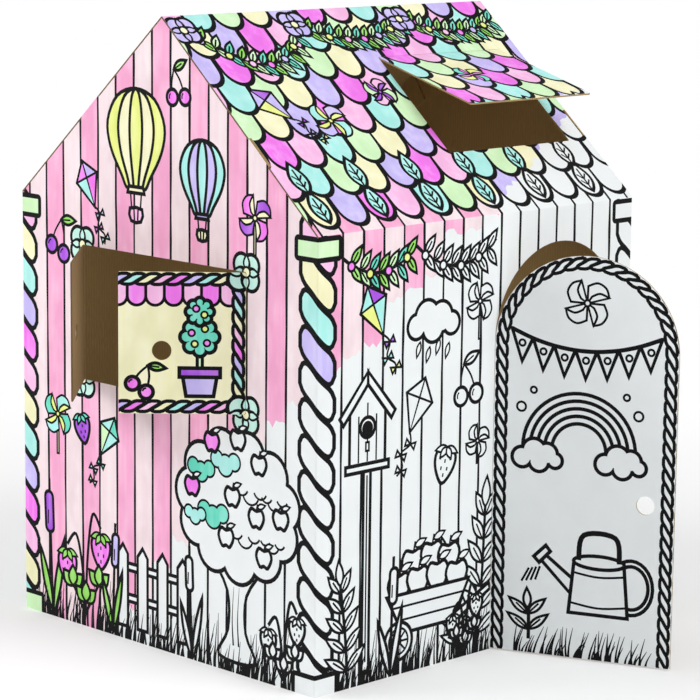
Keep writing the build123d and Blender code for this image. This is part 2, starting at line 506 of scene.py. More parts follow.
class Tree:
    """A geometry node tree in the making, with named inputs."""

    def __init__(self, name, **sizes):
        self.group = bpy.data.node_groups.new(name, "GeometryNodeTree")
        sockets = self.group.interface
        sockets.new_socket("Shape", in_out="INPUT", socket_type="NodeSocketGeometry")
        sockets.new_socket("Print", in_out="OUTPUT", socket_type="NodeSocketGeometry")
        kinds = {int: "NodeSocketInt", float: "NodeSocketFloat", type(None): "NodeSocketObject"}
        for label, value in sizes.items():
            socket = sockets.new_socket(label, in_out="INPUT", socket_type=kinds[type(value)])
            if value is not None:
                socket.default_value = value
        self.inputs = self.group.nodes.new("NodeGroupInput").outputs
        self.end = self.group.nodes.new("NodeGroupOutput")

    def add(self, kind, values=(), **settings):
        """A node with its inputs set by name or index, from sockets or plain values."""
        node = self.group.nodes.new(kind)
        for label, value in settings.items():
            setattr(node, label, value)
        for key, value in dict(values).items():
            if isinstance(value, bpy.types.NodeSocket):
                self.group.links.new(value, node.inputs[key])
            else:
                node.inputs[key].default_value = value
        return node.outputs

    def math(self, operation, first, second=0.0):
        return self.add("ShaderNodeMath", {0: first, 1: second}, operation=operation)[0]

    def vector(self, x, y):
        return self.add("ShaderNodeCombineXYZ", {"X": x, "Y": y})[0]

    def between(self, low, high, seed):
        values = {"Min_001": low, "Max_001": high, "Seed": seed}
        node = self.group.nodes.new("FunctionNodeRandomValue")
        node.data_type = "FLOAT"
        for socket in node.inputs:
            value = values.get(socket.identifier)
            if isinstance(value, bpy.types.NodeSocket):
                self.group.links.new(value, socket)
            elif value is not None:
                socket.default_value = value
        return node.outputs[1]

    def finish(self, instances):
        real = self.add("GeometryNodeRealizeInstances", {"Geometry": instances})[0]
        inked = self.add("GeometryNodeSetMaterial", {"Geometry": real, "Material": MATERIALS[INK]})[0]
        self.group.links.new(inked, self.end.inputs["Print"])
        return self.group


def rows_tree():
    """The shape in rows, odd rows moved along by half a step, with sides that waver as if drawn by hand."""
    tree = Tree("print_rows", Columns=4, Rows=1, Step=10.0, Rise=10.0, Waver=0.0)
    take = tree.inputs
    count = tree.math("MULTIPLY", take["Columns"], take["Rows"])
    points = tree.add("GeometryNodeMeshLine", {"Count": count, "Offset": (0.0, 0.0, 0.0)})[0]
    index = tree.add("GeometryNodeInputIndex")[0]
    row = tree.math("FLOOR", tree.math("DIVIDE", tree.math("ADD", index, 0.5), take["Columns"]))
    column = tree.math("SUBTRACT", index, tree.math("MULTIPLY", row, take["Columns"]))
    shift = tree.math("MULTIPLY", tree.math("MODULO", row, 2.0), 0.5)
    spot = tree.vector(tree.math("MULTIPLY", tree.math("ADD", column, shift), take["Step"]),
                       tree.math("MULTIPLY", row, take["Rise"]))
    placed = tree.add("GeometryNodeSetPosition", {"Geometry": points, "Position": spot})[0]
    instances = tree.add("GeometryNodeInstanceOnPoints", {"Points": placed, "Instance": take["Shape"]})[0]
    real = tree.add("GeometryNodeRealizeInstances", {"Geometry": instances})[0]
    at = tree.add("GeometryNodeInputPosition")[0]
    field = tree.add("ShaderNodeVectorMath", {0: at, 1: (0.4, 0.011, 0.0)}, operation="MULTIPLY")[0]
    noise = tree.add("ShaderNodeTexNoise", {"Vector": field, "Scale": 1.0, "Detail": 1.0})["Fac"]
    sway = tree.math("MULTIPLY", tree.math("SUBTRACT", noise, 0.5), take["Waver"])
    swayed = tree.add("GeometryNodeSetPosition", {"Geometry": real, "Offset": tree.vector(sway, 0.0)})[0]
    return tree.finish(swayed)


def rope_tree():
    """A strand laid again and again along a path, which is the shape that the tree starts from."""
    tree = Tree("print_rope", Strand=None, Pitch=10.0)
    take = tree.inputs
    curve = tree.add("GeometryNodeMeshToCurve", {"Mesh": take["Shape"]})[0]
    points = tree.add("GeometryNodeCurveToPoints", {"Curve": curve, "Length": take["Pitch"]}, mode="LENGTH")
    turned = tree.add(
        "FunctionNodeAlignRotationToVector", {"Vector": points["Tangent"]}, axis="X", pivot_axis="Z")[0]
    strand = tree.add("GeometryNodeObjectInfo", {"Object": take["Strand"]})["Geometry"]
    instances = tree.add("GeometryNodeInstanceOnPoints", {
        "Points": points["Points"], "Instance": strand, "Rotation": turned})[0]
    return tree.finish(instances)


def grass_tree():
    """Blades set at random along a foot, each with its own lean and height."""
    tree = Tree("print_grass", Count=10, Run=100.0, Lean=0.3, Seed=1)
    take = tree.inputs
    points = tree.add("GeometryNodeMeshLine", {"Count": take["Count"], "Offset": (0.0, 0.0, 0.0)})[0]
    spot = tree.vector(tree.between(0.0, take["Run"], take["Seed"]), 0.0)
    placed = tree.add("GeometryNodeSetPosition", {"Geometry": points, "Position": spot})[0]
    again = tree.math("ADD", take["Seed"], 1.0)
    lean = tree.between(tree.math("MULTIPLY", take["Lean"], -1.0), take["Lean"], again)
    turned = tree.add("FunctionNodeEulerToRotation", {0: tree.add("ShaderNodeCombineXYZ", {"Z": lean})[0]})[0]
    high = tree.between(0.35, 1.0, tree.math("ADD", take["Seed"], 2.0))
    size = tree.add("ShaderNodeCombineXYZ", {"X": 1.0, "Y": high, "Z": 1.0})[0]
    instances = tree.add("GeometryNodeInstanceOnPoints", {
        "Points": placed, "Instance": take["Shape"], "Rotation": turned, "Scale": size})[0]
    return tree.finish(instances)


def flat_object(name, loops, edges=()):
    """Loops, or a path's edges, as a flat mesh object."""
    points = [(*p, 0.0) for loop in loops for p in loop]
    starts = [sum(len(loop) for loop in loops[:i]) for i in range(len(loops))]
    faces = [] if edges else [list(range(s, s + len(loop))) for s, loop in zip(starts, loops)]
    mesh = bpy.data.meshes.new(name)
    mesh.from_pydata(points, list(edges), faces)
    item = bpy.data.objects.new(name, mesh)
    bpy.context.scene.collection.objects.link(item)
    return item


def repeated(group, item, **sizes):
    """The loops that a tree makes from a flat object, in the order in which it makes them."""
    grown = item.modifiers.new(group.name, "NODES")
    grown.node_group = group
    for socket in group.interface.items_tree:
        if socket.in_out == "INPUT" and socket.name in sizes:
            grown[socket.identifier] = sizes[socket.name]
    seen = bpy.context.evaluated_depsgraph_get()
    mesh = bpy.data.meshes.new_from_object(item.evaluated_get(seen))
    corners = [tuple(v.co.xy) for v in mesh.vertices]
    loops = [[corners[i] for i in face.vertices] for face in mesh.polygons]
    bpy.data.meshes.remove(mesh)
    bpy.data.objects.remove(item)
    return loops


PRINT_ROWS = rows_tree()
PRINT_ROPE = rope_tree()
PRINT_GRASS = grass_tree()


def moved(loop, u, v):
    return [(x + u, y + v) for x, y in loop]


def outlined(name, loop, line, shift=(0.0, 0.0)):
    """A loop's inked shape and the fill inside it, which may be shifted, as one flat object."""
    return flat_object(name, [grow(loop, line / 2), moved(grow(loop, -line / 2), *shift)])


def paired(loops):
    """Each inked loop with the fill inside it."""
    return zip(loops[::2], loops[1::2])


def plank_lines(drawing, first, count, low, high):
    """Thin upright lines between the boards of the painted wall."""
    rises = [low + (high - low) * i / 20 for i in range(21)]
    line = [(PLANK_LINE / 2, v) for v in rises] + [(-PLANK_LINE / 2, v) for v in reversed(rises)]
    item = flat_object("plank_line", [line])
    for loop in repeated(PRINT_ROWS, item, Columns=count, Step=PLANK, Waver=PLANK_WAVER):
        drawing.fill(moved(loop, first, 0.0), INK)


def plank_colours(drawing, first, count, high, cut):
    """Marker on the boards, dark and pale by turns, down to where the colouring of each stops."""
    for i in range(count):
        left = first + PLANK * i
        stop = cut(left + PLANK / 2) + draw_seed.uniform(-COLOUR_WANDER, COLOUR_WANDER)
        ends = [(left + PLANK * k / 6, stop + draw_seed.uniform(-BOARD_FRAY, BOARD_FRAY)) for k in range(7)]
        if stop < high - 12:
            drawing.fill([(left, high), *ends, (left + PLANK, high)], (DEEP_PINK, PALE_PINK)[i % 2])


def grass(drawing, left, right, count, height, seed):
    """Tufts of thin blades along the foot of a wall."""
    blade = ribbon(smooth([(0, -4), (1.5, height * 0.4), (9, height)], steps=3), 5.6, taper=True)
    item = flat_object("grass_blade", blade)
    for loop in repeated(PRINT_GRASS, item, Count=count, Run=right - left, Lean=0.2, Seed=seed):
        drawing.fill(moved(loop, left, 0.0), INK)


def strand(width, pitch, lean, count=14):
    """One strand of a rope, slanted across it, about the middle of the rope."""
    steps = [i / count for i in range(count + 1)]
    middle = [(-lean * cos(pi * t), width * (t - 0.5)) for t in steps]
    half = [pitch / 2 * (1 - 0.62 * abs(2 * t - 1) ** 6) for t in steps]
    ahead = [(x + h, y) for (x, y), h in zip(middle, half)]
    behind = [(x - h, y) for (x, y), h in zip(middle, half)]
    return ahead + behind[::-1]


def rope(drawing, path, width, pitch, lean, line, tone_of):
    """A twisted rope along a path; tone_of gives a strand's tone from its number and place."""
    loop = strand(width, pitch, lean)
    pattern = outlined("rope_strand", loop, line)
    run = flat_object("rope_path", [path], [(i, i + 1) for i in range(len(path) - 1)])
    loops = repeated(PRINT_ROPE, run, Strand=pattern, Pitch=pitch)
    bpy.data.objects.remove(pattern)
    for number, (outer, inner) in enumerate(paired(loops)):
        middle = [sum(p[k] for p in outer) / len(outer) for k in (0, 1)]
        drawing.fill(outer, INK)
        drawing.fill(inner, tone_of(number, middle))


CAPITAL_HIGH = 846.0
CAPITAL_LOW = 808.0
BASE_HIGH = 37.0
BLOCK_REACH = 56.0


def column(drawing, u, coloured_from):
    """A twisted column round a wall corner at u, with a block at each end."""
    def tone_of(number, place):
        return ROPE_TONES[number % len(ROPE_TONES)] if place[1] > coloured_from else PAPER

    path = [(u, CAPITAL_LOW + COLUMN_PITCH * (0.4 - i / 4)) for i in range(56)]
    rope(drawing, path, COLUMN_WIDTH - HEAVY_LINE, COLUMN_PITCH, COLUMN_LEAN, HEAVY_LINE, tone_of)
    for low, high in ((CAPITAL_LOW, CAPITAL_HIGH), (-10, BASE_HIGH)):
        tone = LIME if low > coloured_from or coloured_from < 0 else PAPER
        drawing.shape(rectangle(u - BLOCK_REACH, low, u + BLOCK_REACH, high, 5), tone, HEAVY_LINE)


def tile():
    """One roof tile that narrows to a rounded foot, its foot's lowest point at the origin."""
    half = TILE_WIDTH / 2
    foot_reach, foot_depth = half * 0.95, half * 1.08
    head_reach, head = half * 1.03, TILE_PITCH * 1.75
    turns = [pi + pi * i / 14 for i in range(15)]
    foot = [(foot_reach * cos(a), foot_depth * (1 + sin(a))) for a in turns]
    return foot + [(head_reach, head), (-head_reach, head)]


def roof_tiles(drawing, cut):
    """Rows of rounded tiles up a slope, coloured in down to a line given by a point and its outward way."""
    columns = int(LENGTH / TILE_WIDTH) + 3
    rows = int(SLOPE / TILE_PITCH) + 2
    pattern = outlined("roof_tile", tile(), TILE_LINE, TILE_INK_SHIFT)
    loops = repeated(PRINT_ROWS, pattern, Columns=columns, Rows=rows, Step=TILE_WIDTH, Rise=TILE_PITCH)
    for number, pair in enumerate(paired(loops)):
        row, place = divmod(number, columns)
        # Uneven sines set each tile a little off its place, as if drawn by hand
        across = TILE_START - TILE_WIDTH + TILE_WOBBLE * sin(2.3 * place + 1.7 * row)
        up = TILE_FOOT + TILE_WOBBLE * sin(1.9 * place - 2.6 * row)
        outer, inner = (moved(loop, across, up) for loop in pair)
        drawing.fill(outer, INK)
        drawing.fill(inner, PAPER)
        if cut:
            point, out = cut
            edge = (point[0] + draw_seed.uniform(-COLOUR_WANDER, COLOUR_WANDER), point[1])
            drawing.fill(clip(facing(inner), edge, out), TILE_TONES[(place + 4 * row) % len(TILE_TONES)])


# Motifs

def balloon(drawing, u, v, size, tones):
    """A hot-air balloon with its basket."""
    pen = Pen(drawing, u, v, size)
    envelope = smooth([(0, 100), (64, 80), (98, 22), (88, -38), (50, -98), (27, -128),
                       (-27, -128), (-50, -98), (-88, -38), (-98, 22), (-64, 80)], closed=True, steps=4)
    for x in (-20, 20):
        pen.line([(x, -124), (x * 0.75, -172)], FINE_LINE)
    for share, tone in zip((1.0, 0.62, 0.22), tones):
        pen.shape([(x * share, y) for x, y in envelope], tone)
    pen.shape([(-29, -136), (29, -136), (25, -122), (-25, -122)], tones[1])
    pen.shape(smooth([(-21, -172), (21, -172), (17, -200), (-17, -200)], closed=True, steps=2), tones[3])
    for x in (-7, 7):
        pen.line([(x, -174), (x * 0.8, -198)], FINE_LINE)


def kite(drawing, u, v, size, turn, tones):
    """A diamond kite of four cloths, with bows on its tail."""
    pen = Pen(drawing, u, v, size, turn)
    tail = smooth([(0, -62), (12, -88), (-8, -114), (8, -142), (-2, -164)])
    pen.line(tail, FINE_LINE)
    for (x, y), tone in zip(tail[6::7], tones * 2):
        pen.shape([(x, y), (x - 15, y + 8), (x - 15, y - 8)], tone, FINE_LINE)
        pen.shape([(x, y), (x + 15, y + 8), (x + 15, y - 8)], tone, FINE_LINE)
    corners = [(0, 58), (42, 14), (0, -62), (-42, 14)]
    pen.shape(corners, tones[0])
    for i, tone in enumerate((tones[0], tones[1], tones[2], tones[1])):
        pen.shape([(0, 14), corners[i], corners[(i + 1) % 4]], tone, FINE_LINE)


def pinwheel(drawing, u, v, size, turn, tones, stick=0.0):
    """A paper windmill of four folded sails, on a stick."""
    pen = Pen(drawing, u, v, size)
    if stick:
        pen.shape(rectangle(-3, -stick, 3, -6), CREAM if tones[0] != PAPER else PAPER, FINE_LINE)
    pen = Pen(drawing, u, v, size, turn)
    for i in range(4):
        a = pi / 2 * i
        sail = [(0, 0)] + smooth([(44, -4), (45, 14), (33, 29), (13, 30)], steps=5)
        fold = [(0, 0)] + smooth([(44, -4), (30, 9), (13, 9)], steps=4)
        for loop, tone in ((sail, tones[i % 2]), (fold, tones[2])):
            pen.shape([(x * cos(a) - y * sin(a), x * sin(a) + y * cos(a)) for x, y in loop], tone, FINE_LINE)
    pen.shape(ellipse(0, 0, 6, count=14), tones[2], FINE_LINE)


def reed(drawing, u, v, size, tones, lean=0.0):
    """A bulrush: a long head on a stem, between two leaves."""
    pen = Pen(drawing, u, v, size)
    pen.shape(lens((0, -8), (-36, 112), 17), tones[1])
    pen.shape(lens((3, -8), (34, 136), 17), tones[1])
    pen.line(smooth([(0, -10), (lean * 0.4, 80), (lean, 236)]), OUTLINE)
    head = rectangle(lean - 11, 138, lean + 11, 212, 10.5)
    pen.shape([(x + (y - 175) * lean / 220, y) for x, y in head], tones[0])
    pen.line([(lean - 4, 152), (lean - 3, 178)], FINE_LINE - 1)


def strawberry(drawing, u, v, size, turn, tones):
    """A berry with its seeds and its cap of leaves."""
    pen = Pen(drawing, u, v, size, turn)
    berry = [(0, -46), (25, -18), (31, 12), (16, 28), (-16, 28), (-31, 12), (-25, -18)]
    pen.shape(smooth(berry, closed=True, steps=4), tones[0])
    for x, y in ((-15, 8), (0, 2), (15, 8), (-9, -14), (9, -14), (0, -28)):
        pen.line([(x, y - 4), (x, y + 4)], FINE_LINE - 0.6)
    for x, y in ((-34, 22), (34, 22), (-17, 8), (17, 8)):
        pen.shape(lens((0, 32), (x, y), 15, 6), tones[1], FINE_LINE)


def strawberry_bush(drawing, u, v, size, tones):
    """Berries that hang from bent stems over leaves in threes."""
    pen = Pen(drawing, u, v, size)
    for side, reach, rise in ((-1, 52, 150), (1, 46, 196)):
        stem = [(0, 0), (8, rise * 0.6), (reach * 0.5, rise), (reach, rise - 24)]
        pen.line(smooth([(side * x, y) for x, y in stem]))
        spot = pen.at([(side * reach, rise - 62)])[0]
        strawberry(drawing, *spot, 0.86 * size, 0, tones)
    for x, y in ((-36, 52), (40, 66), (2, 28)):
        pen.line([(0, 0), (x, y)], OUTLINE)
        for turn in (-0.9, 0.9, 0.0):
            tip = (x + 36 * sin(turn), y + 36 * cos(turn))
            pen.shape(lens((x, y - 4), tip, 25), tones[1], OUTLINE - 1)


def cherries(drawing, u, v, size, turn, tones):
    """Two cherries on one leaf."""
    pen = Pen(drawing, u, v, size, turn)
    for x, y, bow in ((-22, -4, -16), (24, -12, 14)):
        pen.line(smooth([(x, y), (x * 0.5 + bow * 0.3, 30), (0, 62)]), FINE_LINE)
        pen.shape(ellipse(x, y, 20), tones[0])
        pen.line(arc(x, y, 11, 110, 190, 6), FINE_LINE - 1)
    pen.shape(lens((0, 62), (50, 74), 22), tones[1], OUTLINE - 1)
    pen.line([(6, 63), (32, 70)], FINE_LINE - 1)


def puffs(pen, circles, tone, line=OUTLINE):
    """Circles that run together into one outline."""
    for x, y, r in circles:
        pen.drawing.fill(grow(pen.at(ellipse(x, y, r)), line / 2), INK)
    for x, y, r in circles:
        pen.drawing.fill(grow(pen.at(ellipse(x, y, r)), -line / 2), tone)


def cloud(drawing, u, v, size, tone):
    """A cloud with a few drops under it."""
    pen = Pen(drawing, u, v, size)
    puffs(pen, ((-44, -4, 24), (-16, 12, 32), (22, 8, 30), (50, -6, 22), (0, -10, 28)), tone)
    for x, y in ((-38, -48), (-12, -60), (14, -48), (40, -58)):
        pen.shape(lens((x + 4, y + 14), (x - 5, y - 14), 11, 6), tone, FINE_LINE - 0.6)


def apple(drawing, u, v, size, tones):
    """A round apple with its stalk and leaf."""
    pen = Pen(drawing, u, v, size)
    pen.line([(0, 14), (5, 36)], FINE_LINE)
    pen.shape(lens((4, 27), (32, 37), 13, 6), tones[1], FINE_LINE - 0.4)
    fruit = [(0, 18), (18, 22), (27, 2), (14, -23), (0, -20), (-14, -23), (-27, 2), (-18, 22)]
    pen.shape(smooth(fruit, closed=True, steps=3), tones[0])


def topiary(drawing, u, v, size, tones):
    """A clipped bush with berries, in a pot."""
    pen = Pen(drawing, u, v, size)
    pen.shape(rectangle(-5, 46, 5, 96), tones[3], OUTLINE - 1)
    for y, r in ((118, 33), (168, 24)):
        ring = [(0, y, r * 0.8)]
        ring += [(r * 0.78 * cos(pi / 4 * i), y + r * 0.78 * sin(pi / 4 * i), r * 0.4) for i in range(8)]
        puffs(pen, ring, tones[0])
    for i, (x, y) in enumerate(((-16, 126), (10, 134), (14, 106), (-10, 104), (-7, 174), (9, 162))):
        pen.shape(ellipse(x, y, 6.5, count=14), tones[1 + i % 2], FINE_LINE - 0.6)
    pen.shape([(-27, 0), (27, 0), (34, 42), (-34, 42)], tones[4])
    pen.shape(rectangle(-40, 38, 40, 56), tones[5])


def sprig(drawing, u, v, size, turn, tone, pairs=5):
    """A stem with leaves in pairs."""
    pen = Pen(drawing, u, v, size, turn)
    for i in range(pairs):
        y = 22 + 34 * i
        reach = 46 - 5 * i
        for side in (-1, 1):
            pen.shape(lens((0, y), (side * reach, y + 34), 17), tone, FINE_LINE + 0.8)
            pen.line([(side * 3, y + 2), (side * reach * 0.62, y + 23)], FINE_LINE - 0.6)
    pen.line(smooth([(0, 0), (3, 80), (0, 34 * pairs + 4)]), OUTLINE)
    pen.shape(lens((0, 34 * pairs), (0, 34 * pairs + 44), 17), tone, FINE_LINE + 0.8)


def apple_tree(drawing, u, v, size, tones):
    """A round tree with fruit, on a forked trunk."""
    pen = Pen(drawing, u, v, size)
    trunk = [(-46, -12), (-22, 40), (-24, 110), (-66, 176), (0, 190),
             (70, 176), (26, 108), (24, 40), (48, -12)]
    pen.shape(smooth(trunk, closed=True, steps=4), PAPER)
    for x in (-8, 6):
        pen.line(smooth([(x, 12), (x - 3, 60), (x + 1, 120)]), FINE_LINE, taper=True)
    ring = [(0, 266, 112)]
    for i in range(11):
        a = 2 * pi * i / 11 + 0.2
        ring.append((118 * cos(a), 266 + 96 * sin(a), 44))
    puffs(pen, ring, PAPER, OUTLINE + 1)
    tufts = ((-94, 322, 30, tones[0]), (-30, 344, 32, tones[1]), (36, 306, 34, PAPER), (96, 300, 28, PAPER),
             (-62, 246, 34, tones[0]), (22, 224, 32, PAPER), (92, 222, 26, PAPER), (-110, 236, 24, tones[1]))
    for x, y, r, tone in tufts:
        lobes = [(x - r * 0.7, y, r * 0.5), (x, y - r * 0.28, r * 0.62), (x + r * 0.7, y, r * 0.5)]
        if tone == PAPER:
            for low_x, low_y, radius in lobes:
                pen.line(arc(low_x, low_y, radius, 205, 335, 10), FINE_LINE)
        else:
            puffs(pen, lobes, tone, FINE_LINE)
    fruits = ((-118, 284), (-12, 282), (56, 350), (112, 262), (-28, 206),
              (50, 254), (-66, 372), (2, 386), (70, 186))
    for x, y in fruits:
        spot = pen.at([(x, y)])[0]
        apple(drawing, *spot, 0.72 * size, (tones[3] if x < -50 else PAPER, tones[2]))


def fence(drawing, left, right, foot, height, step=46.0):
    """Pointed palings on two rails."""
    for rail in (0.28, 0.68):
        low = foot + height * rail
        drawing.shape(rectangle(left - 12, low, right + 12, low + 14), PAPER)
    count = int((right - left) / step)
    for i in range(count + 1):
        u = left + (right - left) * i / count
        half = step * 0.32
        top = foot + height
        low = foot - 8
        paling = [(u - half, low), (u + half, low), (u + half, top - 18), (u, top), (u - half, top - 18)]
        drawing.shape(paling, PAPER)


def bird_house(drawing, u, v, pole, size):
    """A small house on a pole, with a round way in."""
    pen = Pen(drawing, u, v, size)
    pen.shape(rectangle(-9, -10, 9, pole), PAPER)
    pen.line([(0, 8), (0, pole - 8)], FINE_LINE - 0.6)
    pen.shape(rectangle(-56, pole, 56, pole + 14), PAPER)
    front = [(-46, 14), (46, 14), (46, 112), (0, 162), (-46, 112)]
    pen.shape([(x, pole + y) for x, y in front], PAPER)
    for x in (-23, 0, 23):
        pen.line([(x, pole + 18), (x, pole + 128 - abs(x))], FINE_LINE - 0.6)
    pen.shape(ellipse(0, pole + 82, 19), PAPER)
    pen.shape(ellipse(0, pole + 80, 12), INK, FINE_LINE)
    pen.shape(rectangle(-4, pole + 38, 4, pole + 54), PAPER, FINE_LINE)
    for side in (-1, 1):
        eave = [(0, pole + 186), (side * 72, pole + 106), (side * 62, pole + 92), (0, pole + 162)]
        pen.shape(eave, PAPER)


def wheelbarrow(drawing, u, v, size):
    """A barrow heaped with apples."""
    for x, y in ((-36, 172), (14, 178), (60, 168), (-72, 132), (-22, 136), (30, 138), (82, 130)):
        apple(drawing, u + x * size, v + y * size, 1.08 * size, (PAPER, PAPER))
    pen = Pen(drawing, u, v, size)
    pen.shape([(-104, 116), (116, 116), (74, 42), (-62, 42)], PAPER)
    for share in (0.34, 0.68):
        y = 42 + 74 * share
        pen.line([(-62 - 42 * share, y), (74 + 42 * share, y)], FINE_LINE)
    pen.shape([(58, 46), (172, 96), (176, 84), (66, 32)], PAPER)
    pen.shape([(60, 44), (76, 0), (86, 0), (78, 48)], PAPER)
    pen.shape(ellipse(-72, 28, 36), PAPER)
    pen.shape(ellipse(-72, 28, 25), PAPER, FINE_LINE)
    for i in range(4):
        a = pi / 4 * i
        pen.line([(-72 - 24 * cos(a), 28 - 24 * sin(a)), (-72 + 24 * cos(a), 28 + 24 * sin(a))], FINE_LINE)
    pen.shape(ellipse(-72, 28, 7, count=14), PAPER, FINE_LINE)


def rainbow(drawing, u, v, radius, tones):
    """An arch of bands that stands on two banks."""
    band = radius * 0.13
    for i, tone in enumerate(tones):
        r = radius - band * i
        drawing.shape(arc(u, v, r, 0, 180, 28) + [(u - r, v - 20), (u + r, v - 20)], tone)
    inner = radius - band * len(tones)
    drawing.shape(arc(u, v, inner, 0, 180, 24) + [(u - inner, v - 20), (u + inner, v - 20)], PAPER)
    drawing.fill(rectangle(u - inner, v - 26, u + inner, v - 14), PAPER)
    for side in (-1, 1):
        pen = Pen(drawing, u + side * (radius + inner) / 2, v - 14)
        puffs(pen, ((-30, -6, 20), (-6, 8, 24), (20, 4, 21), (36, -8, 15), (4, -12, 20)), PAPER)


def watering_can(drawing, u, v, size):
    """A watering can with a rose on its spout."""
    pen = Pen(drawing, u, v, size)
    for reach in (58, 46):
        pen.shape(ellipse(70, 66, reach * 0.8, reach), PAPER)
    pen.shape([(-50, 30), (-128, 108), (-116, 118), (-50, 68)], PAPER)
    pen.shape([(-142, 112), (-116, 138), (-106, 126), (-130, 100)], PAPER)
    pen.shape([(-64, 0), (64, 0), (54, 112), (-54, 112)], PAPER)
    pen.shape(ellipse(0, 112, 55, 14), PAPER)
    pen.line(smooth([(-44, 114), (-34, 168), (34, 168), (44, 114)]), OUTLINE + 3)
    for y in (22, 88):
        pen.line(smooth([(-60, y), (0, y - 7), (60, y)]), FINE_LINE)
    for i in range(4):
        pen.line([(-128 - 8 * i, 92 - 2 * i), (-138 - 10 * i, 62 - 2 * i)], FINE_LINE)


def rosette(drawing, u, v, size, tone):
    """A four-lobed knot at a frame's corner."""
    pen = Pen(drawing, u, v, size)
    for i in range(4):
        a = pi / 4 + pi / 2 * i
        pen.shape(ellipse(17 * cos(a), 17 * sin(a), 19, count=20), tone)
    for i in range(4):
        a = pi / 2 * i
        pen.shape(lens((4 * cos(a), 4 * sin(a)), (30 * cos(a), 30 * sin(a)), 14, 6), tone, FINE_LINE)
    pen.shape(ellipse(0, 0, 9, count=16), CREAM if tone != PAPER else PAPER, FINE_LINE)


def hanging(start, end, sag, count):
    """Points along a line that hangs between two others."""
    shares = [i / count for i in range(count + 1)]
    drops = [4 * sag * t * (1 - t) for t in shares]
    return [(start[0] + (end[0] - start[0]) * t, start[1] + (end[1] - start[1]) * t - drop)
            for t, drop in zip(shares, drops)]


def bunting(drawing, start, end, sag, count, drop):
    """Pointed flags on a hanging line."""
    spots = hanging(start, end, sag, count)
    for a, b in zip(spots, spots[1:]):
        tip = ((a[0] + b[0]) / 2, (a[1] + b[1]) / 2 - drop)
        drawing.shape([a, b, tip], PAPER)
        drawing.shape(ellipse(tip[0], tip[1] + drop * 0.66, 6, count=14), PAPER, FINE_LINE)
    drawing.line(smooth(spots, steps=3), OUTLINE + 1)


def garland(drawing, start, end, sag, tones, berries, count=13):
    """Leaves and berries along a hanging line."""
    spots = hanging(start, end, sag, count)
    drawing.line(smooth(spots, steps=3), OUTLINE)
    for i, (u, v) in enumerate(spots[1:-1]):
        for side in (-1, 1):
            tip = (u + 26, v + side * 34)
            drawing.shape(lens((u, v), tip, 18), tones[i % len(tones)], FINE_LINE + 0.8)
            drawing.line([(u + 3, v + side * 4), (u + 17, v + side * 23)], FINE_LINE - 0.6)
        if i % 2 == 0:
            drawing.shape(ellipse(u, v - 2, 9, count=16), berries[i // 2 % len(berries)], FINE_LINE + 0.6)


# The four drawn faces

BEYOND = 30.0
DOOR_LEFT = LENGTH - DOOR_EDGE - DOOR_WIDTH
DOOR_MIDDLE = DOOR_LEFT + DOOR_WIDTH / 2
DOOR_SPRING = DOOR_HEIGHT - DOOR_WIDTH / 2
WINDOW_LEFT = (WIDTH - WINDOW_WIDTH) / 2
WINDOW_RIGHT = WINDOW_LEFT + WINDOW_WIDTH
WINDOW_MIDDLE = (WINDOW_LEFT + WINDOW_RIGHT) / 2
WINDOW_TOP = WINDOW_SILL + WINDOW_HEIGHT
GABLE_PLANK_START = 25.6
WALL_PLANK_START = 9.2
UNCOLOURED = (PAPER,) * 6


def window_art(drawing, coloured):
    """Cream shutters under a scalloped awning, in a rope frame with knots at its corners."""
    drawing.fill(rectangle(WINDOW_LEFT, WINDOW_SILL, WINDOW_RIGHT, WINDOW_TOP), CREAM)
    half = AWNING_STEP / 2
    scallop = [(x, -y) for x, y in arc(0, 0, half, 0, 180, 12)] + [(-half, 30), (half, 30)]
    pattern = outlined("awning_scallop", scallop, AWNING_LINE)
    loops = repeated(PRINT_ROWS, pattern, Columns=AWNING_COUNT, Step=AWNING_STEP)
    for number, pair in enumerate(paired(loops)):
        outer, inner = (moved(loop, WINDOW_LEFT + 31, WINDOW_TOP - 46) for loop in pair)
        drawing.fill(outer, INK)
        drawing.fill(inner, (ROSE, MAGENTA)[number % 2])
    tones = (TEAL, MAGENTA, YELLOW, LIME, LILAC, PURPLE)
    topiary(drawing, WINDOW_MIDDLE + 150, WINDOW_SILL + 34, 0.94, tones)
    tones = (AQUA, ROSE, YELLOW, LIME, ROSE, MAGENTA)
    topiary(drawing, WINDOW_MIDDLE - 150, WINDOW_SILL + 34, 0.94, tones)
    cherries(drawing, WINDOW_MIDDLE + 40, WINDOW_SILL + 54, 0.64, -22, (MAGENTA, LEAF))
    cherries(drawing, WINDOW_MIDDLE - 62, WINDOW_SILL + 52, 0.64, -8, (PURPLE, LEAF))
    inset = (BORDER_WIDTH + BORDER_LINE) / 2 + 1
    corners = [(WINDOW_LEFT + inset, WINDOW_SILL + inset), (WINDOW_RIGHT - inset, WINDOW_SILL + inset),
               (WINDOW_RIGHT - inset, WINDOW_TOP - inset), (WINDOW_LEFT + inset, WINDOW_TOP - inset)]
    for a, b in zip(corners, corners[1:] + corners[:1]):
        path = [tuple(Vector(a).lerp(Vector(b), i / 24)) for i in range(25)]
        rope(drawing, path, BORDER_WIDTH, BORDER_PITCH, BORDER_LEAN, BORDER_LINE,
             lambda number, place: ROPE_TONES[number % len(ROPE_TONES)] if coloured else PAPER)
    for u in (WINDOW_LEFT, WINDOW_RIGHT):
        for v in (WINDOW_SILL, WINDOW_TOP):
            rosette(drawing, u, v, 1.1, MINT)


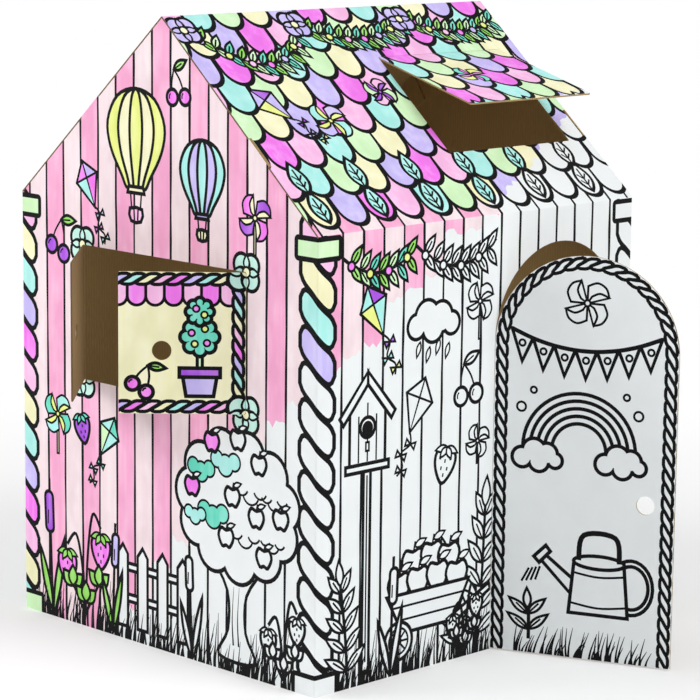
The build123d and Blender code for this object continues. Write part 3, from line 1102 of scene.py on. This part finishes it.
def window_gable_art():
    drawing = Drawing()
    plank_colours(drawing, GABLE_PLANK_START - PLANK, GABLE_PLANKS + 1, RIDGE + BEYOND,
                  lambda u: max(-60.0, 70 + 1.04 * (u - 330)))
    plank_lines(drawing, GABLE_PLANK_START, GABLE_PLANKS, -BEYOND, RIDGE + BEYOND)
    grass(drawing, 0, WIDTH, 190, 112, 11)
    column(drawing, 0.0, -100.0)
    column(drawing, WIDTH, 585.0)
    balloon(drawing, 348, 996, 0.84, (YELLOW, CREAM, YELLOW, ROSE))
    balloon(drawing, 536, 936, 0.62, (AQUA, LILAC, AQUA, CREAM))
    kite(drawing, 206, 888, 0.76, 24, (LILAC, MAGENTA, AQUA))
    pinwheel(drawing, 680, 868, 0.95, 12, (PURPLE, MAGENTA, CREAM), stick=74)
    cherries(drawing, 468, 1078, 0.76, 14, (MAGENTA, LEAF))
    cherries(drawing, 112, 756, 0.86, -12, (PURPLE, LEAF))
    window_art(drawing, True)
    pinwheel(drawing, 108, 418, 0.95, 30, (AQUA, TEAL, YELLOW), stick=84)
    kite(drawing, 262, 398, 0.72, -28, (TEAL, AQUA, LIME))
    strawberry(drawing, 184, 404, 0.74, 14, (PURPLE, TEAL))
    fence(drawing, 306, 482, 34, 156)
    apple_tree(drawing, 634, 40, 1.06, (TEAL, AQUA, PAPER, MAGENTA))
    reed(drawing, 88, 18, 1.12, (PURPLE, LEAF), -8)
    strawberry_bush(drawing, 190, 24, 1.06, (MAGENTA, LEAF))
    reed(drawing, 274, 14, 0.9, (LILAC, LEAF), 10)
    reed(drawing, 508, 10, 0.9, (PAPER, PAPER), -8)
    strawberry_bush(drawing, 762, 14, 0.78, UNCOLOURED)
    grass(drawing, 60, 780, 90, 66, 23)
    return drawing


def door_wall_art():
    drawing = Drawing()
    plank_colours(drawing, WALL_PLANK_START, 9, EAVE + BEYOND, lambda u: 612 + 0.66 * (u - 60))
    plank_lines(drawing, WALL_PLANK_START, WALL_PLANKS, -BEYOND, EAVE + BEYOND)
    grass(drawing, 0, LENGTH, 190, 104, 31)
    column(drawing, 0.0, 600.0)
    column(drawing, LENGTH, EAVE * 2)
    garland(drawing, (60, 808), (252, 812), 38, (LEAF, LIME, TEAL), (MAGENTA, YELLOW), 8)
    garland(drawing, (252, 812), (470, 806), 44, UNCOLOURED, UNCOLOURED, 9)
    kite(drawing, 146, 704, 0.84, 24, (PURPLE, AQUA, YELLOW))
    cloud(drawing, 300, 664, 1.0, PAPER)
    pinwheel(drawing, 428, 690, 0.84, 20, UNCOLOURED, stick=86)
    cherries(drawing, 398, 520, 0.9, 12, UNCOLOURED)
    bird_house(drawing, 130, 34, 372, 1.0)
    kite(drawing, 262, 514, 0.86, -22, UNCOLOURED)
    pinwheel(drawing, 428, 420, 0.72, 8, UNCOLOURED, stick=60)
    strawberry(drawing, 338, 392, 0.9, -12, UNCOLOURED)
    sprig(drawing, 434, 10, 1.36, -4, PAPER, pairs=6)
    sprig(drawing, 392, 10, 0.98, 14, PAPER, pairs=6)
    sprig(drawing, 84, 10, 1.12, 6, PAPER)
    wheelbarrow(drawing, 292, 36, 1.02)
    reed(drawing, 196, 10, 0.94, UNCOLOURED, 8)
    strawberry_bush(drawing, 402, 10, 0.66, UNCOLOURED)
    grass(drawing, 60, 470, 80, 62, 37)
    door_art(drawing)
    return drawing


def door_art(drawing):
    """The plain door: a rope border, flags, an arch of bands and a watering can."""
    edge = (BORDER_WIDTH + BORDER_LINE) / 2 + 2
    left, right = DOOR_LEFT + edge, DOOR_LEFT + DOOR_WIDTH - edge
    outline = [(DOOR_LEFT, -BEYOND), *reversed(arc(DOOR_MIDDLE, DOOR_SPRING, DOOR_WIDTH / 2, 0, 180, 30)),
               (DOOR_LEFT + DOOR_WIDTH, -BEYOND)]
    drawing.fill(grow(outline, -1.2), PAPER)
    steps = 30
    path = [(left, DOOR_SPRING * i / steps) for i in range(steps)]
    path += reversed(arc(DOOR_MIDDLE, DOOR_SPRING, DOOR_WIDTH / 2 - edge, 0, 180, 40))
    path += [(right, DOOR_SPRING * (1 - i / steps)) for i in range(1, steps + 1)]
    rope(drawing, path, BORDER_WIDTH, BORDER_PITCH, BORDER_LEAN, BORDER_LINE, lambda number, place: PAPER)
    pinwheel(drawing, DOOR_MIDDLE, 694, 1.0, 22, UNCOLOURED)
    bunting(drawing, (DOOR_LEFT + 34, 636), (DOOR_LEFT + DOOR_WIDTH - 34, 636), 34, 7, 54)
    middle, foot = DOOR_MIDDLE - 10, 408
    rainbow(drawing, middle, foot, 112, UNCOLOURED[:4])
    for u, v, r in ((-116, 78, 9), (-92, 112, 6), (92, 112, 6), (116, 78, 9)):
        drawing.shape(ellipse(middle + u, foot + v, r, count=16), PAPER, FINE_LINE)
    watering_can(drawing, DOOR_MIDDLE + 36, 92, 0.92)
    sprig(drawing, DOOR_LEFT + 80, 30, 0.9, 3, PAPER, pairs=2)
    grass(drawing, DOOR_LEFT + 40, DOOR_LEFT + DOOR_WIDTH - 40, 64, 62, 61)


def front_slope_art():
    drawing = Drawing()
    plank_colours(drawing, WALL_PLANK_START - PLANK, 10, TILE_PITCH, lambda u: -BEYOND)
    plank_lines(drawing, WALL_PLANK_START, WALL_PLANKS, -BEYOND, TILE_PITCH)
    along = Vector((400, 205)).normalized()
    roof_tiles(drawing, ((ROOF_COLOUR_END, TILE_FOOT), (along.y, -along.x)))
    columns = 6
    pattern = outlined("leaf_drop", lens((0, -2), (0, 76), 40), OUTLINE)
    loops = repeated(PRINT_ROWS, pattern, Columns=columns, Rows=2, Step=2 * TILE_WIDTH, Rise=TILE_PITCH)
    for number, pair in enumerate(paired(loops)):
        shift = TILE_START + (TILE_WIDTH if number < columns else 0.0)
        outer, inner = (moved(loop, shift, TILE_FOOT + 14) for loop in pair)
        foot = min(outer, key=lambda p: p[1])
        drawing.fill(outer, INK)
        drawing.fill(inner, AQUA if foot[0] < ROOF_COLOUR_END + foot[1] * 2 else PAPER)
        veins = Pen(drawing, *foot)
        veins.line([(0, 8), (0, 66)], FINE_LINE)
        for rise in (22, 38):
            for side in (-1, 1):
                veins.line([(0, rise), (side * 12, rise + 13)], FINE_LINE - 0.6)
    hooks = ((28, 520), (312, 514), (600, 520), (866, 512))
    for start, end, sag in zip(hooks, hooks[1:], (96, 44, 40)):
        garland(drawing, start, end, sag, (LEAF, LIME, TEAL), (LILAC, YELLOW, ROSE, MAGENTA))
    for u in (28, 312, 600):
        rosette(drawing, u, 520, 1.05, LILAC)
    pinwheel(drawing, 226, 268, 1.0, 18, (LILAC, AQUA, YELLOW))
    pinwheel(drawing, 404, 330, 0.8, 40, (ROSE, LIME, PURPLE))
    kite(drawing, 108, 322, 0.8, 34, (PURPLE, LILAC, YELLOW))
    pinwheel(drawing, 610, 300, 0.84, 5, (YELLOW, TEAL, MAGENTA))
    return drawing


def plain_wall_art(width, high, start, seed):
    """A wall that nobody has coloured: boards, columns and a planted foot."""
    drawing = Drawing()
    plank_lines(drawing, start, WALL_PLANKS, -BEYOND, high + BEYOND)
    grass(drawing, 0, width, 150, 86, seed)
    column(drawing, 0.0, EAVE * 2)
    column(drawing, width, EAVE * 2)
    fence(drawing, width * 0.34, width * 0.66, 34, 150)
    apple_tree(drawing, width * 0.22, 40, 0.96, UNCOLOURED)
    apple_tree(drawing, width * 0.79, 40, 0.84, UNCOLOURED)
    for i in range(5):
        reed(drawing, width * (0.33 + 0.085 * i), 10, 0.78 + 0.09 * (i % 3), UNCOLOURED, 8 - 5 * (i % 4))
    grass(drawing, 60, width - 60, 90, 56, seed + 5)
    kite(drawing, width * 0.36, 690, 0.95, 22, UNCOLOURED)
    kite(drawing, width * 0.66, 620, 0.8, -26, UNCOLOURED)
    pinwheel(drawing, width * 0.52, 520, 0.9, 12, UNCOLOURED, stick=80)
    return drawing


def right_gable_art():
    drawing = plain_wall_art(WIDTH, RIDGE, GABLE_PLANK_START, 41)
    balloon(drawing, WIDTH / 2, 985, 0.98, UNCOLOURED)
    return drawing


def rear_slope_art():
    drawing = Drawing()
    plank_lines(drawing, WALL_PLANK_START, WALL_PLANKS, -BEYOND, TILE_PITCH)
    roof_tiles(drawing, None)
    return drawing


# Folding

class Face:
    """A flat face of the sheet: its lower left corner, its ways across and up, and the folds at its edges."""

    def __init__(self, corner, across, up, width, height, left=0.0, right=0.0, low=0.0, high=0.0):
        self.corner = Vector(corner)
        self.across = Vector(across)
        self.up = Vector(up)
        self.out = self.across.cross(self.up)
        self.width, self.height = width, height
        self.folds = (left, right, low, high)

    def place(self, u, v, lift):
        """A point of the flat drawing on the folded sheet, lifted off the board, in metres."""
        left, right, low, high = self.folds
        near_u, out_left = bend(u, left, lift)
        far_u, out_right = bend(self.width - u, right, lift)
        near_v, out_low = bend(v, low, lift)
        far_v, out_high = bend(self.height - v, high, lift)
        u = near_u if u < self.width / 2 else self.width - far_u
        v = near_v if v < self.height / 2 else self.height - far_v
        out = lift + sum(o - lift for o in (out_left, out_right, out_low, out_high))
        return (self.corner + self.across * u + self.up * v + self.out * out) * MM


def bend(distance, turn, lift):
    """How far a point is from a fold's sharp line, and off the face, once the fold is rounded."""
    reach = BOARD * tan(turn / 2)
    if distance >= reach:
        return distance, lift
    angle = turn / 2 * (1 - distance / reach)
    return reach - (BOARD + lift) * sin(angle), (BOARD + lift) * cos(angle) - BOARD


HALF = LENGTH / 2
REAR = FRONT + WIDTH
SQUARE_FOLD = pi / 2
EAVE_FOLD = pi / 2 - PITCH
RIDGE_FOLD = 2 * PITCH
WALL_FOLDS = {"left": SQUARE_FOLD, "right": SQUARE_FOLD}
FACES = {
    "door_wall": Face((-HALF, FRONT, 0), (1, 0, 0), (0, 0, 1), LENGTH, EAVE, high=EAVE_FOLD, **WALL_FOLDS),
    "rear_wall": Face((HALF, REAR, 0), (-1, 0, 0), (0, 0, 1), LENGTH, EAVE, high=EAVE_FOLD, **WALL_FOLDS),
    "window_gable": Face((-HALF, REAR, 0), (0, -1, 0), (0, 0, 1), WIDTH, RIDGE, **WALL_FOLDS),
    "right_gable": Face((HALF, FRONT, 0), (0, 1, 0), (0, 0, 1), WIDTH, RIDGE, **WALL_FOLDS),
    "front_slope": Face((-HALF, FRONT, EAVE), (1, 0, 0), (0, cos(PITCH), sin(PITCH)), LENGTH, SLOPE,
                        low=EAVE_FOLD, high=RIDGE_FOLD),
    "rear_slope": Face((HALF, REAR, EAVE), (-1, 0, 0), (0, -cos(PITCH), sin(PITCH)), LENGTH, SLOPE,
                       low=EAVE_FOLD, high=RIDGE_FOLD),
}
JOINTS = {joint["child"]: joint for joint in frame["joints"]}


def turned_open(face, body):
    """Places points of a flap, which is drawn closed and stands open at rest."""
    joint = JOINTS[body]
    pivot = Vector(joint["pos_m"])
    turn = Matrix.Rotation(-radians(joint["range_deg"][0]), 3, Vector(joint["axis"]))

    def place(u, v, lift):
        return pivot + turn @ (face.place(u, v, lift) - pivot)

    return place


def fold_strips(face):
    """Strips along the folds, so that the skin has edges to bend at."""
    left, right, low, high = (BOARD * tan(turn / 2) for turn in face.folds)
    strips = []
    for part in (0.5, 1.0):
        for reach, loop in (
            (left, rectangle(0, 0, left * part, face.height)),
            (right, rectangle(face.width - right * part, 0, face.width, face.height)),
            (low, rectangle(0, 0, face.width, low * part)),
            (high, rectangle(0, face.height - high * part, face.width, face.height)),
        ):
            if reach:
                strips.append(loop)
    return strips


def box(loop):
    us, vs = zip(*loop)
    return min(us), min(vs), max(us), max(vs)


def overlaid(shapes, outlines, holes, strips):
    """Triangles of the drawing inside its outlines, each with the number of the shape on top of it."""
    loops = [facing(loop) for loop in (*outlines, *holes, *strips, *(loop for loop, _ in shapes))]
    first_hole = len(outlines)
    first_strip = first_hole + len(holes)
    first_shape = first_strip + len(strips)
    points, sides = [], []
    near = {}
    boxes = []
    for number, loop in enumerate(loops):
        start, count = len(points), len(loop)
        points += [Vector(p) for p in loop]
        sides += [(start + i, start + (i + 1) % count) for i in range(count)]
        low_u, low_v, high_u, high_v = box(loop)
        boxes.append((low_u, low_v, high_u, high_v))
        for i in range(int(low_u // CELL), int(high_u // CELL) + 1):
            for j in range(int(low_v // CELL), int(high_v // CELL) + 1):
                near.setdefault((i, j), []).append(number)
    corners, _, triangles, *_ = delaunay_2d_cdt(points, sides, [], 0, SAME_POINT)
    found = []
    for triangle in triangles:
        u, v = sum((corners[i] for i in triangle), Vector((0, 0))) / 3
        top = None
        for number in reversed(near.get((int(u // CELL), int(v // CELL)), ())):
            low_u, low_v, high_u, high_v = boxes[number]
            if not (low_u < u < high_u and low_v < v < high_v) or first_strip <= number < first_shape:
                continue
            if number < first_strip and top is None:
                top = -1
            if (top is None or number < first_strip) and winding((u, v), loops[number]) > 0:
                if number >= first_shape:
                    top = number - first_shape
                else:
                    if number < first_hole:
                        found.append((triangle, top))
                    break
    return corners, found


def skin(name, body, place, size, corners, triangles, tones, low, high):
    """A thin closed sheet of the triangles, between two heights above the board."""
    used = sorted({i for triangle in triangles for i in triangle})
    number = {old: new for new, old in enumerate(used)}
    count = len(used)
    points = [place(*corners[i], high) for i in used] + [place(*corners[i], low) for i in used]
    slots = sorted(set(tones))
    faces, marks = [], []
    edges = {}
    for triangle, tone in zip(triangles, tones):
        top = [number[i] for i in triangle]
        faces += [top, [i + count for i in reversed(top)]]
        marks += [slots.index(tone)] * 2
        for a, b in zip(top, top[1:] + top[:1]):
            edges[a, b] = slots.index(tone)
    for (a, b), mark in edges.items():
        if (b, a) not in edges:
            faces.append([a, a + count, b + count, b])
            marks.append(mark)
    mesh = bpy.data.meshes.new(name)
    mesh.from_pydata(points, [], faces)
    for tone in slots:
        mesh.materials.append(MATERIALS[tone])
    mesh.polygons.foreach_set("material_index", marks)
    # The printed side fills the map; the hidden side and the rim share a corner of it
    map_layer = mesh.uv_layers.new(name="OFBake")
    tops = 2 * len(triangles)
    for i, face in enumerate(mesh.polygons):
        printed = i < tops and i % 2 == 0
        scale, start = PRINTED_MAP if printed else HIDDEN_MAP
        for corner, vertex in zip(face.loop_indices, face.vertices):
            u, v = corners[used[vertex % count]]
            map_layer.data[corner].uv = (start + scale * u / size[0], start + scale * v / size[1])
    piece = bpy.data.objects.new(name, mesh)
    bpy.context.scene.collection.objects.link(piece)
    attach(piece, body)


def lay(name, body, drawing, place, size, origin, outlines, holes=(), strips=()):
    """The paper skin and the ink skin of one part of a drawing; origin is the part's lower left corner."""
    def shifted(u, v, lift):
        return place(u + origin[0], v + origin[1], lift)

    def local(loop):
        return [(u - origin[0], v - origin[1]) for u, v in loop]

    outlines, holes, strips = ([local(loop) for loop in loops] for loops in (outlines, holes, strips))
    shapes = [(local(loop), tone) for loop, tone in drawing.shapes]
    within = [s for s in shapes if touches(s[0], outlines)]
    fills = [(loop, tone) for loop, tone in within if tone != INK]
    corners, found = overlaid(fills, outlines, holes, strips)
    tones = [fills[top][1] if top >= 0 else PAPER for _, top in found]
    top_of_paper = SKIN_GAP + PAPER_SKIN
    skin(f"{name}_paper", body, shifted, size, corners, [t for t, _ in found], tones, SKIN_GAP, top_of_paper)
    corners, found = overlaid(within, outlines, holes, strips)
    inked = [t for t, top in found if top >= 0 and within[top][1] == INK]
    tones = [INK] * len(inked)
    skin(f"{name}_ink", body, shifted, size, corners, inked, tones, top_of_paper, top_of_paper + INK_SKIN)


def touches(loop, outlines):
    """Whether a loop's box meets the box of any outline."""
    a = box(loop)
    return any(a[0] < b[2] and b[0] < a[2] and a[1] < b[3] and b[1] < a[3] for b in map(box, outlines))


def gable_outline(rises):
    """The gable's printed face under the roof board, and its tongues that rise through the roof.

    A rise says how far up a slope a tongue stands, and whether that slope is the one at the drawing's left.
    """
    eave, ridge = EAVE - ROOF_DROP, RIDGE - ROOF_DROP
    outlines = [[(0, 0), (WIDTH, 0), (WIDTH, eave), (WIDTH / 2, ridge), (0, eave)]]
    for rise, from_left in rises:
        tongue = []
        for s, n in ((-1, -1.5 * BOARD), (1, -1.5 * BOARD), (1, 0), (-1, 0)):
            up = rise + s * (TAB_WIDTH / 2 - SEAM)
            u = up * cos(PITCH) - n * sin(PITCH)
            tongue.append((u if from_left else WIDTH - u, EAVE + up * sin(PITCH) + n * cos(PITCH)))
        outlines.append(tongue)
    return outlines


def slope_holes(rise):
    """The notches at a slope's ends, where its tabs fold down."""
    low, high = rise - TAB_WIDTH / 2, rise + TAB_WIDTH / 2
    reach = 2 * BOARD + SEAM
    return [rectangle(-1, low, reach, high), rectangle(LENGTH - reach, low, LENGTH + 1, high)]


window_hole = rectangle(WINDOW_LEFT, WINDOW_SILL, WINDOW_RIGHT, WINDOW_TOP, CORNER)
hatch_left = LENGTH - HATCH_EDGE - HATCH_WIDTH
hatch_hole = rectangle(hatch_left, HATCH_SILL, hatch_left + HATCH_WIDTH, HATCH_SILL + HATCH_HEIGHT, CORNER)


def arched(left, right, foot, count=36):
    """A round-headed outline on the door's springing line."""
    middle, radius = (left + right) / 2, (right - left) / 2
    return [(left, foot), (right, foot), *arc(middle, DOOR_SPRING, radius, 0, 180, count)]


doorway = arched(DOOR_LEFT, DOOR_LEFT + DOOR_WIDTH, -1.0)
gable_art, wall_art, roof_art = window_gable_art(), door_wall_art(), front_slope_art()
window_gable_tongues = [(FRONT_TAB_RISE, False), (REAR_TAB_RISE, True)]
right_gable_tongues = [(FRONT_TAB_RISE, True), (REAR_TAB_RISE, False)]
wall_outline = [rectangle(0, 0, LENGTH, EAVE)]
slope_outline = [rectangle(0, 0, LENGTH, SLOPE)]
for name, drawing, outlines, holes in (
    ("window_gable", gable_art, gable_outline(window_gable_tongues), [window_hole]),
    ("door_wall", wall_art, wall_outline, [doorway]),
    ("front_slope", roof_art, slope_outline, [hatch_hole, *slope_holes(FRONT_TAB_RISE)]),
    ("right_gable", right_gable_art(), gable_outline(right_gable_tongues), []),
    ("rear_wall", plain_wall_art(LENGTH, EAVE, WALL_PLANK_START, 53), wall_outline, []),
    ("rear_slope", rear_slope_art(), slope_outline, slope_holes(REAR_TAB_RISE)),
):
    face = FACES[name]
    size = (face.width, face.height)
    lay(name, "house", drawing, face.place, size, (0, 0), outlines, holes, fold_strips(face))

door_leaf = arched(DOOR_LEFT + CREASE, DOOR_LEFT + DOOR_WIDTH - SLIT, DOOR_FOOT)
door_hole = ellipse(DOOR_LEFT + DOOR_HOLE_REACH, DOOR_HOLE_HEIGHT, FINGER_HOLE / 2, count=32)
lay("door", "door", wall_art, turned_open(FACES["door_wall"], "door"),
    (DOOR_WIDTH, DOOR_HEIGHT), (DOOR_LEFT, 0), [door_leaf], [door_hole])
for body, left, right, hole in (
    ("left_shutter", WINDOW_LEFT + CREASE, WINDOW_MIDDLE - SLIT / 2, WINDOW_LEFT + SHUTTER_HOLE_REACH),
    ("right_shutter", WINDOW_MIDDLE + SLIT / 2, WINDOW_RIGHT - CREASE, WINDOW_RIGHT - SHUTTER_HOLE_REACH),
):
    leaf = rectangle(left, WINDOW_SILL + SLIT, right, WINDOW_TOP - SLIT, CORNER)
    finger_hole = ellipse(hole, WINDOW_SILL + SHUTTER_HOLE_HEIGHT, FINGER_HOLE / 2, count=32)
    lay(body, body, gable_art, turned_open(FACES["window_gable"], body), (WINDOW_WIDTH / 2, WINDOW_HEIGHT),
        (left, WINDOW_SILL), [leaf], [finger_hole])
hatch_leaf = rectangle(hatch_left + SLIT, HATCH_SILL + SLIT, hatch_left + HATCH_WIDTH - SLIT,
                       HATCH_SILL + HATCH_HEIGHT - CREASE, CORNER)
lay("roof_hatch", "roof_hatch", roof_art, turned_open(FACES["front_slope"], "roof_hatch"),
    (HATCH_WIDTH, HATCH_HEIGHT), (hatch_left, HATCH_SILL), [hatch_leaf])


# Floor, light and camera

WHITE = (1.0, 1.0, 1.0, 1.0)
FLOOR_TONE = (0.93, 0.93, 0.93, 1.0)
FLOOR_REACH = 30
SHADOW_MIDDLE = (0.0, 0.4, 0.0)
SHADOW_FADE = (("From Min", 0.4), ("From Max", 2.4), ("To Min", 0.25), ("To Max", 1.0))
SKY_STRENGTH = 0.42


def backdrop_material():
    """A pale floor with the house's shadow on it, which the camera sees as plain white farther off."""
    material = bpy.data.materials.new("white_floor")
    material.use_nodes = True
    nodes, links = material.node_tree.nodes, material.node_tree.links
    surface = nodes["Principled BSDF"]
    surface.inputs["Base Color"].default_value = FLOOR_TONE
    surface.inputs["Roughness"].default_value = 0.9
    surface.inputs["Specular IOR Level"].default_value = 0.1
    white = nodes.new("ShaderNodeEmission")
    white.inputs["Color"].default_value = WHITE
    white.inputs["Strength"].default_value = 1.0
    spot = nodes.new("ShaderNodeTexCoord").outputs["Object"]
    away = nodes.new("ShaderNodeVectorMath")
    away.operation = "DISTANCE"
    away.inputs[1].default_value = SHADOW_MIDDLE
    links.new(spot, away.inputs[0])
    fade = nodes.new("ShaderNodeMapRange")
    fade.interpolation_type = "SMOOTHSTEP"
    for socket, number in SHADOW_FADE:
        fade.inputs[socket].default_value = number
    links.new(away.outputs["Value"], fade.inputs["Value"])
    path = nodes.new("ShaderNodeLightPath")
    seen = path.outputs["Is Camera Ray"]
    for ray in ("Is Glossy Ray", "Is Transmission Ray"):
        either = nodes.new("ShaderNodeMath")
        either.operation = "MAXIMUM"
        links.new(seen, either.inputs[0])
        links.new(path.outputs[ray], either.inputs[1])
        seen = either.outputs["Value"]
    share = nodes.new("ShaderNodeMath")
    share.operation = "MULTIPLY"
    links.new(seen, share.inputs[0])
    links.new(fade.outputs["Result"], share.inputs[1])
    mixed = nodes.new("ShaderNodeMixShader")
    links.new(share.outputs["Value"], mixed.inputs["Fac"])
    links.new(surface.outputs["BSDF"], mixed.inputs[1])
    links.new(white.outputs["Emission"], mixed.inputs[2])
    links.new(mixed.outputs["Shader"], nodes["Material Output"].inputs["Surface"])
    return material


def floor():
    mesh = bpy.data.meshes.new("studio_floor")
    corners = rectangle(-FLOOR_REACH, -FLOOR_REACH, FLOOR_REACH, FLOOR_REACH)
    mesh.from_pydata([(*p, 0.0) for p in corners], [], [(0, 1, 2, 3)])
    mesh.materials.append(backdrop_material())
    item = bpy.data.objects.new("studio_floor", mesh)
    bpy.context.scene.collection.objects.link(item)


def world():
    """An even white sky, plain white to the camera."""
    sky = bpy.data.worlds.new("studio")
    bpy.context.scene.world = sky
    sky.use_nodes = True
    nodes, links = sky.node_tree.nodes, sky.node_tree.links
    light = nodes["Background"]
    light.inputs["Color"].default_value = WHITE
    light.inputs["Strength"].default_value = SKY_STRENGTH
    seen = nodes.new("ShaderNodeBackground")
    seen.inputs["Color"].default_value = WHITE
    path = nodes.new("ShaderNodeLightPath")
    mixed = nodes.new("ShaderNodeMixShader")
    links.new(path.outputs["Is Camera Ray"], mixed.inputs["Fac"])
    links.new(light.outputs["Background"], mixed.inputs[1])
    links.new(seen.outputs["Background"], mixed.inputs[2])
    links.new(mixed.outputs["Shader"], nodes["World Output"].inputs["Surface"])


def soft_light(name, place, target, size, power):
    """A square lamp that the camera doesn't see, turned to a target."""
    lamp = bpy.data.lights.new(name, "AREA")
    lamp.size = size
    lamp.energy = power
    item = bpy.data.objects.new(name, lamp)
    item.location = place
    item.rotation_euler = (Vector(target) - Vector(place)).to_track_quat("-Z", "Y").to_euler()
    item.visible_camera = False
    bpy.context.scene.collection.objects.link(item)


def room_light(place, radius, power):
    """A weak lamp for the light that the openings let into the room."""
    lamp = bpy.data.lights.new("room_light", "POINT")
    lamp.shadow_soft_size = radius
    lamp.energy = power
    item = bpy.data.objects.new("room_light", lamp)
    item.location = place
    item.visible_camera = False
    bpy.context.scene.collection.objects.link(item)


HOUSE_MIDDLE = (0.0, 0.42, 0.6)
SHUTTER_INSIDE = (-0.74, 0.48, 0.62)
CAMERA_PLACE = Vector((-3.90425, -3.5749, 1.55406))
CAMERA_TARGET = Vector((0.0, 0.3530, 0.5465))
CAMERA_ROLL = radians(0.626)
CAMERA_FOCAL_PIXELS = 2830.5
IMAGE_PIXELS = 700.0
SENSOR = 36.0


def camera():
    data = bpy.data.cameras.new("camera")
    data.sensor_width = SENSOR
    data.lens = SENSOR * CAMERA_FOCAL_PIXELS / IMAGE_PIXELS
    data.clip_end = 200.0
    item = bpy.data.objects.new("camera", data)
    look = (CAMERA_TARGET - CAMERA_PLACE).to_track_quat("-Z", "Y").to_matrix()
    turn = look @ Matrix.Rotation(CAMERA_ROLL, 3, "Z")
    item.matrix_world = Matrix.Translation(CAMERA_PLACE) @ turn.to_4x4()
    bpy.context.scene.collection.objects.link(item)
    bpy.context.scene.camera = item


floor()
world()
soft_light("left_light", place=(-3.4, 3.0, 3.2), target=HOUSE_MIDDLE, size=2.6, power=138.0)
soft_light("front_light", place=(0.4, -3.8, 4.4), target=HOUSE_MIDDLE, size=3.0, power=182.0)
soft_light("window_light", place=(-0.38, 0.30, 0.62), target=SHUTTER_INSIDE, size=0.16, power=0.85)
room_light(place=(0.14, 0.34, 0.56), radius=0.1, power=0.86)
camera()
bpy.context.scene.view_settings.view_transform = "Standard"
